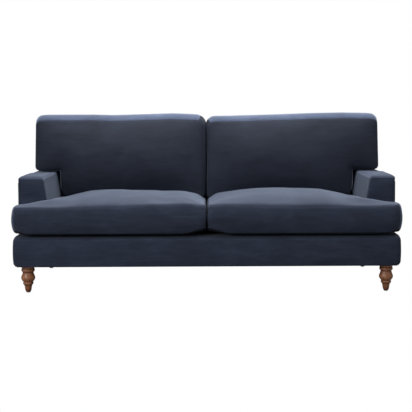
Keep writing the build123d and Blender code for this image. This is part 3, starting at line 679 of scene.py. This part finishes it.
def finish_back(piece, quads, seam):
    """Clears the arms, the sofa's back and the seat cushions, then sinks the seams."""
    points = read_points(piece.data)
    points -= normals_of(points, quads) * (0.0025 * seam)[:, None]
    side = np.sign(points[:, 0])
    # the line where the two cushions meet wanders a little on its way back
    wander = 0.0030 * np.sin(2 * np.pi * (points[:, 1] - 0.2) / 0.13)
    wander *= smooth_step(-0.05, -0.01, -np.abs(points[:, 0]))
    points[:, 0] = side * np.clip(np.abs(points[:, 0]), 0.0005, -BACK_OUTER_X + 0.008) + wander
    rest = BACK_FRONT_Y + BACK_THICK + (points[:, 2] - BACK_FOOT) * LEAN - 0.0145
    points[:, 1] = np.minimum(points[:, 1], rest)
    near_zip = smooth_step(0.185, 0.235, points[:, 1])
    lowest = BACK_FOOT + 0.0008 + (ZIP_Z - BACK_FOOT) * near_zip
    lowest -= sink(np.abs(points[:, 0])) * (1 - near_zip)
    points[:, 2] = np.maximum(points[:, 2], lowest)
    face = arm_face(points[:, 2]) - 0.0015
    low = (points[:, 2] < EAR_Z - 0.0015) & (np.abs(points[:, 0]) > face)
    points[low, 0] = (side * face)[low]
    write_points(piece, points)
    refine(piece)


BACKS = {side: back_cushion(side, seed) for side, seed in (("left", 21), ("right", 34))}
for side, (piece, quads, seam) in BACKS.items():
    inflate(piece, quads, seam, 0.006)
    finish_back(piece, quads, seam)
    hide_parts(f"back_cushion_core_{side}", f"back_cushion_cover_{side}")


# %% [markdown]
# ## The upholstered frame
# Arms, back and base are velvet pulled tight over foam and timber, so they are crisper than the loose
# cushions. Each is a padded block with rounded rims, or a thin panel folded round an edge. Nothing in
# them is slack, so a simulation would add little, and their curves are set by formula alone.

# %% Arms
ARM_FRONT, ARM_REAR = arm_low.y, 0.4781
ARM_SIDE_X = -arm_low.x
ARM_RIM = 0.012
ROLL_Z = 0.585  # the arm's pad ends here on the outside, and the outside panel begins
BASE_Z = 0.144  # underside of the upholstered base


def arm_pad(side):
    """The front panel (x, z) carried back along y, with a rounded rim all round the front.

    At an angle a from 0 to 90 degrees, the rim lies R (1 - cos a) back and R (1 - sin a) in.
    The inner side leans: x = s + slope (z - foot), less towards the outside.
    """
    inner, outer, low = ARM_FOOT_X, ARM_SIDE_X - 0.0024, ARM_FOOT_Z + 0.0003
    angle = np.radians(np.linspace(0, 90, 7))
    depths = np.append(ARM_RIM * (1 - np.cos(angle)), np.arange(0.030, ARM_REAR - ARM_FRONT, 0.022))
    depths = np.append(depths, ARM_REAR - ARM_FRONT)
    s, t = seam_lines(inner, outer, step=0.011), seam_lines(low, ARM_TOP_Z, step=0.012)
    grid, quads, seam, number = boxed_grid(s, t, depths, lambda x, z: x > -1)
    crown = crown_of(number, 0.6, s, t)
    count = number.max() + 1
    plan = round_corners(grid, [(inner, ARM_TOP_Z, 1, -1, 0.015), (outer, ARM_TOP_Z, -1, -1, 0.006)])
    x, z, depth = plan.T.copy()
    turn = np.arccos(np.clip(1 - depth / ARM_RIM, 0, 1))
    inset = ARM_RIM * (1 - np.sin(turn))
    height = (z - low) / (ARM_TOP_Z - low)
    middle = (inner + outer) / 2
    x = middle + (x - middle) * (1 - inset / (outer - middle))
    z = z - inset * height
    y = ARM_FRONT + depth
    x += (ARM_TOP_Z - ARM_FOOT_Z) * ARM_SLOPE * height * (outer - x) / (outer - inner)
    x += 0.0024 * smooth_step(ROLL_Z, 0.592, z) * smooth_step(0.98, 1.02, x)
    # the top is domed where no back cushion reaches over it
    open_part = 1 - smooth_step(0.00, 0.12, y)
    across = np.clip((x - ARM_NECK_X) / (ARM_SIDE_X - ARM_NECK_X), 0, 1)
    dome = 0.011 * (1 - (2 * across - 1) ** 8) * smooth_step(0, 0.03, depth)
    z += dome * smooth_step(ROLL_Z, 0.607, z) * open_part
    front = slice(0, count)
    y[front] -= 0.0045 * crown * smooth_step(0.49, 0.56, z[front])
    points = np.column_stack([x, y, z])
    unevenness = 0.0012 * waves(points, 14, 5 + len(side))
    points[:, 2] += unevenness * smooth_step(0.58, 0.607, points[:, 2]) * open_part
    seam[count:2 * count] = 0
    points -= normals_of(points, quads) * (0.0012 * seam)[:, None]
    if side == "left":
        points[:, 0] *= -1
    pad = surface(f"arm_pad_{side}", points, quads, seam, BODY_VELVET)
    # painted shade inside the arm: a darker, less glossy copy of the velvet
    middle = np.abs(points[quads].mean(axis=1))
    inside = (middle[:, 0] < arm_face(middle[:, 2]) + 0.004) & (middle[:, 2] < 0.600)
    add_lit_and_shaded_copies(pad, [ARM_SHADE_VELVET], inside)
    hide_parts(f"arm_cover_{side}", f"arm_foam_{side}")
    return refine(pad)


for side in ("left", "right"):
    print(arm_pad(side).name, "from", round(ARM_FRONT, 3), "to", ARM_REAR)


# %% Inside back
BACK_TOP_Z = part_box("back_cover")[1].z
FACE_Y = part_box("back_cover")[0].y
BACK_RIM, BACK_DEPTH = 0.019, 0.09


def inside_back():
    """A T-shaped panel (x, z) leaning by 10 degrees, as deep as the space to the sofa's rear."""
    foot, neck_z, side_x = ARM_FOOT_X - 0.001, ARM_TOP_Z + 0.001, ARM_SIDE_X
    angle = np.radians(np.linspace(0, 90, 7))
    depths = np.append(BACK_RIM * (1 - np.cos(angle)), [0.030, 0.05, 0.07, BACK_DEPTH])
    s = seam_lines(-side_x, -foot, foot, side_x, step=0.02)
    t = seam_lines(ARM_FOOT_Z + 0.0005, neck_z, BACK_TOP_Z, step=0.02)
    grid, quads, seam, number = boxed_grid(s, t, depths, lambda x, z: (np.abs(x) < foot) | (z > neck_z))
    crown = crown_of(number, 0.5, s, t, 1500)
    count = number.max() + 1
    plan = round_corners(grid, [(-side_x, BACK_TOP_Z, 1, -1, 0.024), (side_x, BACK_TOP_Z, -1, -1, 0.024)])
    x, z, depth = plan.T.copy()
    inset = BACK_RIM * (1 - np.sin(np.arccos(np.clip(1 - depth / BACK_RIM, 0, 1))))
    neck = arm_face(np.minimum(z, neck_z)) - 0.001
    beyond = np.clip((np.abs(x) - foot) / (side_x - foot), 0, 1)
    x = np.sign(x) * np.where(beyond > 0, neck + beyond * (side_x - neck), np.abs(x) * neck / foot)
    x -= np.sign(x) * inset * smooth_step(0.96, 1.03, np.abs(x))
    face = FACE_Y + (z - ARM_FOOT_Z) * LEAN
    # behind the rim, the depth is stretched to reach the sofa's rear
    reach = (ARM_REAR - face - BACK_RIM) * (depth - BACK_RIM) / (BACK_DEPTH - BACK_RIM)
    y = face + np.where(depth > BACK_RIM + 1e-6, BACK_RIM + reach, depth)
    z = z - inset * smooth_step(0.60, BACK_TOP_Z, z)
    y[:count] += 0.002 - 0.002 * crown
    seam[count:2 * count] = 0
    points = np.column_stack([x, y, z])
    points[:, 2] += 0.0015 * waves(points, 12, 77) * smooth_step(0.70, 0.735, points[:, 2])
    # 0.4 makes the painted seam shade weaker here
    back = surface("inside_back", points, quads, 0.4 * seam, BODY_VELVET)
    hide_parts("back_cover", "back_foam")
    return refine(back)


print(inside_back().name, "top", round(BACK_TOP_Z, 3))


# %% A thin sheet with two sides
def slab(outer, inner):
    """Closes two (n, m, 3) sheets into one shell: both sheets, and a strip along their four edges."""
    rows, columns = outer.shape[:2]
    numbers = np.arange(rows * columns).reshape(rows, columns)
    loop = np.concatenate([numbers[0], numbers[1:, -1], numbers[-1, -2::-1], numbers[-2:0:-1, 0]])
    after = np.roll(loop, -1)
    strip = np.stack([loop, loop + numbers.size, after + numbers.size, after], axis=-1)
    sheet = grid_quads(rows, columns)
    quads = np.concatenate([sheet, sheet[:, ::-1] + numbers.size, strip])
    seam = np.zeros(2 * numbers.size)
    seam[loop] = 1
    return np.concatenate([outer.reshape(-1, 3), inner.reshape(-1, 3)]), quads, seam


def fold_profile(low, high, turn, top, under, layer, levels=14):
    """(inward, z) down the middle of a C: under the base, round a lower edge, up, round the top, and in.

    turn holds one lower radius for each place along the edge; layer is 0 outside and 1 for the inner side.
    """
    thick = 0.002 * layer
    a = np.radians(np.linspace(0, 90, 6))
    turn = np.asarray(turn)[:, None]
    reach = np.full_like(turn, under)
    lip = np.concatenate([reach, (reach + turn) / 2], axis=1)
    lower = thick + (turn - thick) * (1 - np.sin(a))
    start, end = low + turn, high - top
    wall_z = start + (end - start) * np.linspace(0, 1, levels)[1:-1]
    upper = np.repeat(thick + (top - thick) * (1 - np.cos(a))[None], len(turn), axis=0)
    inward = np.concatenate([lip, lower, np.full_like(wall_z, thick), upper], axis=1)
    z = np.concatenate([
        np.full_like(lip, low + thick), low + thick + (turn - thick) * (1 - np.cos(a)), wall_z,
        np.repeat((high - top + (top - thick) * np.sin(a))[None], len(turn), axis=0),
    ], axis=1)
    return inward, z


# %% Front border
def front_border():
    """The C profile carried along the front and round two corners of 26 mm, with a deep lip on top."""
    low, high, radius = BASE_Z, 0.2985, 0.026
    half, front_y, lip_y, lip_x = ARM_SIDE_X + 0.003, -0.466, -0.398, 1.024
    side_y = np.linspace(-0.2955, front_y + radius, 15)
    front_x = np.linspace(half - radius, -(half - radius), 131)
    arc = np.radians(np.linspace(0, 90, 9))[1:-1]
    # the line seen from above, and the way out from the sofa at each of its points
    corner_out = np.column_stack([np.cos(arc), -np.sin(arc)])
    corner = np.array([half - radius, front_y + radius]) + radius * corner_out
    right = np.vstack([np.column_stack([np.full_like(side_y, half), side_y]), corner])
    right_out = np.vstack([np.tile([1.0, 0.0], (len(side_y), 1)), corner_out])
    front = np.column_stack([front_x, np.full_like(front_x, front_y)])
    line = np.vstack([right, front, right[::-1] * (-1, 1)])
    outward = np.vstack([right_out, np.tile([0.0, -1.0], (len(front), 1)), right_out[::-1] * (-1, 1)])
    near_corner = smooth_step(half - 0.06, half - 0.01, np.abs(line[:, 0]))
    turn = 0.007 + 0.014 * near_corner
    target = np.column_stack([np.clip(line[:, 0], -lip_x, lip_x), np.full(len(line), lip_y)])
    beside = line[:, 1] > lip_y
    target[beside, 1] = line[beside, 1]
    lift = (ARM_FOOT_Z - high) * smooth_step(-0.440, -0.408, line[:, 1])[:, None]
    sheets = []
    for layer in (0, 1):
        inward, z = fold_profile(low, high, turn, 0.014, 0.026, layer)
        rise = np.clip((z - low) / (high - low), 0, 1)
        z = z + lift * smooth_step(0.4, 1.0, rise)
        swell = 0.0042 * np.sin(np.pi * rise) ** 0.8 * (inward < 0.02)
        swell *= 1 + 0.25 * plan_waves(*line.T, 7, 51)[:, None]
        place = line[:, None] - outward[:, None] * (inward - swell)[..., None]
        share = np.array([0.1, 0.3, 0.55, 0.8, 1.0])[None, :, None]
        lip = place[:, -1:] * (1 - share) + target[:, None] * share
        lip_z = high + lift + (ARM_FOOT_Z - high - lift) * share[..., 0] - 0.002 * layer
        lip = np.concatenate([lip, lip_z[..., None]], axis=2)
        sheets.append(np.concatenate([np.concatenate([place, z[..., None]], axis=2), lip], axis=1))
    points, quads, seam = slab(*sheets)
    # 0.5 makes the painted seam shade weaker here
    border = surface("front_border", points, quads, 0.5 * seam, BODY_VELVET)
    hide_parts("border_cover", "border_foam")
    return refine(border)


print(front_border().name, "made")


# %% Outside panels
TOP_TURN = 0.004  # radius at a panel's top edge
HALF_BACK, BACK_CORNER = 1.0285, 0.024


def arch(share):
    """A half sine wave: 0 where share is 0 or 1, and 1 in the middle."""
    return np.clip(np.sin(np.pi * share), 0, 1)


def outside_arm(side):
    """The C profile carried back along the side, from the border to the rear, up to the arm's roll."""
    y = np.linspace(-0.2985, 0.4785, 48)
    run = (y - y[0]) / (y[-1] - y[0])
    sheets = []
    for layer in (0, 1):
        inward, z = fold_profile(BASE_Z, ROLL_Z, np.full(48, 0.006), TOP_TURN, 0.022, layer, 24)
        rise = (z - BASE_Z) / (ROLL_Z - BASE_Z)
        crown = 0.0016 * arch(rise) ** 0.5 * arch(run)[:, None] ** 0.5
        x = ARM_SIDE_X + 0.0003 - inward + crown * (inward < TOP_TURN)
        sheets.append(np.stack([x, np.repeat(y[:, None], z.shape[1], axis=1), z], axis=-1))
    points, quads, seam = slab(*sheets)
    if side == "left":
        points[:, 0] *= -1
    panel = surface(f"outside_arm_panel_{side}", points, quads, seam, BODY_VELVET)
    return refine(panel)


def outside_back():
    """The same profile along the rear, its top edge falling in a quarter circle at each end."""
    end = np.linspace(1.0, HALF_BACK, 8)
    x = np.concatenate([-end[::-1], np.linspace(-0.98, 0.98, 80), end])
    beyond = np.clip(np.abs(x) - (HALF_BACK - BACK_CORNER), 0, BACK_CORNER - 0.0001)
    top = BACK_TOP_Z - (BACK_CORNER - np.sqrt(BACK_CORNER ** 2 - beyond ** 2))
    sheets = []
    for layer in (0, 1):
        inward, z = fold_profile(BASE_Z, BACK_TOP_Z, np.full(len(x), 0.006), TOP_TURN, 0.018, layer, 30)
        rise = (z - BASE_Z) / (BACK_TOP_Z - BASE_Z)
        crown = 0.0022 * arch(rise) ** 0.4 * (1 - (np.abs(x) / HALF_BACK) ** 6)[:, None]
        y = 0.4803 - inward + crown * (inward < TOP_TURN)
        z = BASE_Z + rise * (top - BASE_Z)[:, None]
        sheets.append(np.stack([np.repeat(x[:, None], z.shape[1], axis=1), y, z], axis=-1))
    points, quads, seam = slab(*sheets)
    panel = surface("outside_back_panel", points, quads, seam, BODY_VELVET)
    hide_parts("outside_back_cover")
    return refine(panel)


print([outside_arm(side).name for side in ("left", "right")], outside_back().name)


# %% [markdown]
# ## Finishes of the parts under the velvet
# Legs, timber, springs and linings keep their CAD shape. Each material slot of the part gets its own
# node material, so that the sofa also looks right with its cushions lifted off.

# %% Wood
def wood_material(name, dark, middle, light, roughness, along="z", fine=1.0):
    """Grain is noise drawn out along one axis; finer pores run with it, in tone and as a shallow bump."""
    material, nodes, links, shader, coords = new_material(name, roughness)
    pull = {"x": (0.05, 1, 1), "y": (1, 0.05, 1), "z": (1, 1, 0.05)}[along]
    grain = noise(nodes, links, coords, 60.0 * fine, 8.0, 1.6, pull)
    pores = noise(nodes, links, coords, 420.0 * fine, 3.0, 0.0, pull)
    tone = ramp(nodes, links, grain, [(0.30, dark), (0.50, middle), (0.72, light)])
    pored = blend_colours(nodes, links, "MULTIPLY", 0.7, tone, ramp(
        nodes, links, pores, [(0.35, (0.66, 0.62, 0.58)), (0.60, (1.08, 1.08, 1.08))]
    ))
    add_bump(nodes, links, shader, [(grain, 0.10, 0.0008), (pores, 0.18, 0.0003)])
    return material, nodes, links, shader, coords, pored


def leg_material():
    """Painted shade in the turned grooves and darker towards the foot and the top, as bands of height on
    every leg.
    """
    material, nodes, links, shader, coords, wood = wood_material(
        "turned_leg_wood", (0.25, 0.090, 0.036), (0.42, 0.165, 0.072), (0.58, 0.26, 0.126), 0.40
    )
    height = nodes.new("ShaderNodeSeparateXYZ")
    links.new(coords, height.inputs["Vector"])
    scaled = nodes.new("ShaderNodeMath")
    scaled.operation, scaled.inputs[1].default_value = "MULTIPLY", 1 / 0.143
    links.new(height.outputs["Z"], scaled.inputs[0])
    # painted shade: dark bands at the grooves, and darker towards the foot and the top
    lit, deep = (1.0, 1.0, 1.0), (0.34, 0.27, 0.24)
    bands = ramp(nodes, links, scaled.outputs["Value"], [
        (0.00, (0.36, 0.26, 0.24)), (0.14, (0.72, 0.60, 0.55)), (0.27, lit), (0.300, deep), (0.335, lit),
        (0.385, lit), (0.405, deep), (0.44, lit), (0.72, lit), (0.775, deep), (0.815, lit), (0.88, lit),
        (0.910, deep), (0.945, lit), (1.00, (0.55, 0.48, 0.45)),
    ])
    links.new(blend_colours(nodes, links, "MULTIPLY", 0.9, wood, bands), shader.inputs["Base Color"])
    shader.inputs["Coat Weight"].default_value = 0.35
    shader.inputs["Coat Roughness"].default_value = 0.22
    return material


def sawn_timber():
    """Planed and unvarnished, with the grain along the rails."""
    material, nodes, links, shader, coords, wood = wood_material(
        "sawn_hardwood", (0.34, 0.21, 0.12), (0.47, 0.32, 0.19), (0.58, 0.43, 0.28), 0.72, "x", 0.7
    )
    links.new(wood, shader.inputs["Base Color"])
    return material


def hardboard():
    """Pressed fibres: two noises, one mottled and one fine."""
    material, nodes, links, shader, coords = new_material("pressed_hardboard", 0.66)
    mottle, fibre = noise(nodes, links, coords, 24.0, 6.0, 1.0), noise(nodes, links, coords, 380.0, 4.0, 2.5)
    tone = ramp(nodes, links, mottle, [(0.3, (0.17, 0.105, 0.058)), (0.7, (0.25, 0.165, 0.095))])
    fleck = ramp(nodes, links, fibre, [(0.35, (0.72, 0.68, 0.62)), (0.65, (1.15, 1.12, 1.08))])
    links.new(blend_colours(nodes, links, "MULTIPLY", 0.8, tone, fleck), shader.inputs["Base Color"])
    add_bump(nodes, links, shader, [(fibre, 0.25, 0.0004)])
    return material


# %% Metals
def metal_material(name, dark, light, roughness, scale=180.0):
    """Drawn or plated steel: fine noise changes its tone, its gloss and its surface."""
    material, nodes, links, shader, coords = new_material(name, roughness, 1.0)
    grain = noise(nodes, links, coords, scale, 5.0, 0.6, (1, 0.2, 1))
    links.new(ramp(nodes, links, grain, [(0.3, dark), (0.7, light)]), shader.inputs["Base Color"])
    gloss = ramp(nodes, links, grain, [(0.3, (roughness - 0.08,) * 3), (0.7, (roughness + 0.10,) * 3)])
    links.new(gloss, shader.inputs["Roughness"])
    add_bump(nodes, links, shader, [(grain, 0.15, 0.0002)])
    return material


# %% Cloths and fillings
def woven_material(name, dark, light, threads):
    """Plain weave: the mean of wave bands along X, Y and Z, threads to the metre, over mottled colour."""
    material, nodes, links, shader, coords = new_material(
        name, 0.85, Sheen_Weight=0.15, Specular_IOR_Level=0.2
    )
    bands = None
    for axis in ("X", "Y", "Z"):
        wave = nodes.new("ShaderNodeTexWave")
        wave.bands_direction = axis
        wave.inputs["Scale"].default_value = threads / 6.0
        wave.inputs["Distortion"].default_value = 0.6
        links.new(coords, wave.inputs["Vector"])
        if bands is None:
            bands = wave.outputs["Fac"]
        else:
            total = nodes.new("ShaderNodeMath")
            total.operation = "ADD"
            links.new(bands, total.inputs[0])
            links.new(wave.outputs["Fac"], total.inputs[1])
            bands = total.outputs["Value"]
    third = nodes.new("ShaderNodeMath")
    third.operation, third.inputs[1].default_value = "MULTIPLY", 1 / 3
    links.new(bands, third.inputs[0])
    mottle = noise(nodes, links, coords, 30.0, 5.0)
    tone = ramp(nodes, links, mottle, [(0.3, dark), (0.7, light)])
    weave = ramp(nodes, links, third.outputs["Value"], [(0.2, (0.6, 0.6, 0.6)), (0.8, (1.25, 1.25, 1.25))])
    links.new(blend_colours(nodes, links, "MULTIPLY", 0.5, tone, weave), shader.inputs["Base Color"])
    add_bump(nodes, links, shader, [(third.outputs["Value"], 0.4, 0.0004)])
    return material


def matted_material(name, dark, light, scale, roughness, bump, cells=False):
    """Felt, foam, wadding and spun cloth: noise or small cells for the surface, slower noise for tone."""
    material, nodes, links, shader, coords = new_material(name, roughness, Specular_IOR_Level=0.1)
    mottle = noise(nodes, links, coords, 18.0, 5.0, 0.5)
    if cells:
        texture = nodes.new("ShaderNodeTexVoronoi")
        texture.inputs["Scale"].default_value = scale
        links.new(coords, texture.inputs["Vector"])
        fine = texture.outputs["Distance"]
    else:
        fine = noise(nodes, links, coords, scale, 5.0, 3.0)
    tone = ramp(nodes, links, mottle, [(0.3, dark), (0.7, light)])
    fleck = ramp(nodes, links, fine, [(0.25, (0.75, 0.75, 0.75)), (0.7, (1.12, 1.12, 1.12))])
    links.new(blend_colours(nodes, links, "MULTIPLY", 0.8, tone, fleck), shader.inputs["Base Color"])
    add_bump(nodes, links, shader, [(fine, bump, 0.0006)])
    return material


# %% Give every CAD node its finish
FINISHES = {
    "turned_wood": leg_material(),
    "frame_timber": sawn_timber(),
    "board": hardboard(),
    "hardware_steel": metal_material("zinc_plated_steel", (0.46, 0.47, 0.49), (0.68, 0.69, 0.71), 0.34),
    "spring_steel": metal_material("drawn_spring_wire", (0.14, 0.15, 0.17), (0.26, 0.27, 0.29), 0.38, 260.0),
    "zip_metal": metal_material("plated_zip", (0.30, 0.31, 0.33), (0.50, 0.51, 0.53), 0.30, 400.0),
    "zip_tape": woven_material("zip_tape", (0.012, 0.015, 0.024), (0.020, 0.025, 0.038), 1300.0),
    "platform_cloth": woven_material("platform_cloth", (0.016, 0.020, 0.031), (0.028, 0.034, 0.050), 900.0),
    "webbing": woven_material("elastic_webbing", (0.045, 0.041, 0.034), (0.075, 0.070, 0.060), 500.0),
    "dust_cloth": matted_material("spun_dust_cloth", (0.006,) * 3, (0.012,) * 3, 500.0, 0.9, 0.3),
    "felt": matted_material("needled_felt", (0.14, 0.135, 0.13), (0.21, 0.205, 0.20), 300.0, 0.97, 0.6),
    "foam": matted_material("open_cell_foam", (0.56, 0.54, 0.46), (0.66, 0.64, 0.56), 900.0, 0.95, 0.5, True),
    "cushion_filling": matted_material(
        "fibre_wrap", (0.66, 0.64, 0.60), (0.76, 0.74, 0.70), 220.0, 0.97, 0.6
    ),
    "velvet": BODY_VELVET,
}
for node in NODES.values():
    for holder in node.material_slots:
        holder.material = FINISHES[holder.material.name.split(".")[0]]
print("finishes given to", len(NODES), "nodes from", len(FINISHES), "materials")


# %% [markdown]
# ## Camera, floor and light
# A long lens, a little above the sofa's back and several steps away, looks slightly down, so that
# upright lines stay nearly parallel. Large soft lights lift the tops and leave the fronts calm.

# %% Camera
camera_data = bpy.data.cameras.new("camera")
camera_data.lens, camera_data.sensor_width, camera_data.shift_y = 87.20, 36.0, -0.08
camera = bpy.data.objects.new("camera", camera_data)
camera.location = (-0.0032, -5.729, 1.0)
PITCH, ROLL = np.radians(3.871), np.radians(-0.268)
look = Euler((np.pi / 2 - PITCH, 0, 0)).to_matrix() @ Euler((0, 0, ROLL)).to_matrix()
camera.rotation_euler = look.to_euler()
bpy.context.scene.collection.objects.link(camera)
bpy.context.scene.camera = camera
bpy.context.scene.view_settings.view_transform = "Standard"
print("camera at", tuple(round(v, 3) for v in camera.location), "lens", round(camera_data.lens, 1), "mm")

# %% Floor
FLOOR_TONE = 0.20  # what the floor gives back to the sofa; it is seen as plain white
floor_mesh = bpy.data.meshes.new("floor")
floor_mesh.from_pydata([(-30, -30, 0), (30, -30, 0), (30, 30, 0), (-30, 30, 0)], [], [(0, 1, 2, 3)])
floor = bpy.data.objects.new("floor", floor_mesh)
bpy.context.scene.collection.objects.link(floor)
pale, nodes, links, shader, coords = new_material("pale_floor", 0.95, Specular_IOR_Level=0.0)
shader.inputs["Base Color"].default_value = (FLOOR_TONE, FLOOR_TONE, FLOOR_TONE, 1)
glow, mix, path = (nodes.new("ShaderNode" + kind) for kind in ("Emission", "MixShader", "LightPath"))
links.new(path.outputs["Is Camera Ray"], mix.inputs["Fac"])
links.new(shader.outputs["BSDF"], mix.inputs[1])
links.new(glow.outputs["Emission"], mix.inputs[2])
links.new(mix.outputs["Shader"], nodes["Material Output"].inputs["Surface"])
floor_mesh.materials.append(pale)
print(floor.name, "made, tone", FLOOR_TONE)


# %% Studio light
def soft_box(name, place, aim, size, power, colour=(1, 1, 1)):
    """A square area light of the given size, turned to face its aim."""
    light = bpy.data.lights.new(name, "AREA")
    light.shape, light.size, light.energy, light.color = "SQUARE", size, power, colour
    lamp = bpy.data.objects.new(name, light)
    lamp.location = place
    lamp.rotation_euler = (Vector(aim) - Vector(place)).to_track_quat("-Z", "Y").to_euler()
    bpy.context.scene.collection.objects.link(lamp)


soft_box("overhead", (0, -0.10, 2.5), (0, -0.10, 0.4), 2.2, 105)
soft_box("key", (-2.7, -3.1, 2.0), (0, 0, 0.40), 1.8, 54)
soft_box("rim", (0.6, 2.6, 2.6), (0, 0, 0.7), 2.6, 45)
world = bpy.data.worlds.new("studio")
bpy.context.scene.world = world
world.use_nodes = True
sky_nodes, sky_links = world.node_tree.nodes, world.node_tree.links
sky_coords = sky_nodes.new("ShaderNodeTexCoord")
sky_height = sky_nodes.new("ShaderNodeSeparateXYZ")
sky_links.new(sky_coords.outputs["Generated"], sky_height.inputs["Vector"])
sky = ramp(sky_nodes, sky_links, sky_height.outputs["Z"], [
    (0.0, (0.10, 0.10, 0.11)), (0.12, (0.12, 0.12, 0.13)),
    (0.55, (0.42, 0.43, 0.45)), (1.0, (0.95, 0.95, 0.97)),
])
seen = sky_nodes.new("ShaderNodeLightPath").outputs["Is Camera Ray"]
shown_sky = blend_colours(sky_nodes, sky_links, "MIX", seen, sky, (1, 1, 1, 1))
sky_links.new(shown_sky, sky_nodes["Background"].inputs["Color"])
sky_nodes["Background"].inputs["Strength"].default_value = 1.0
print("lights:", [lamp.name for lamp in bpy.data.lights])
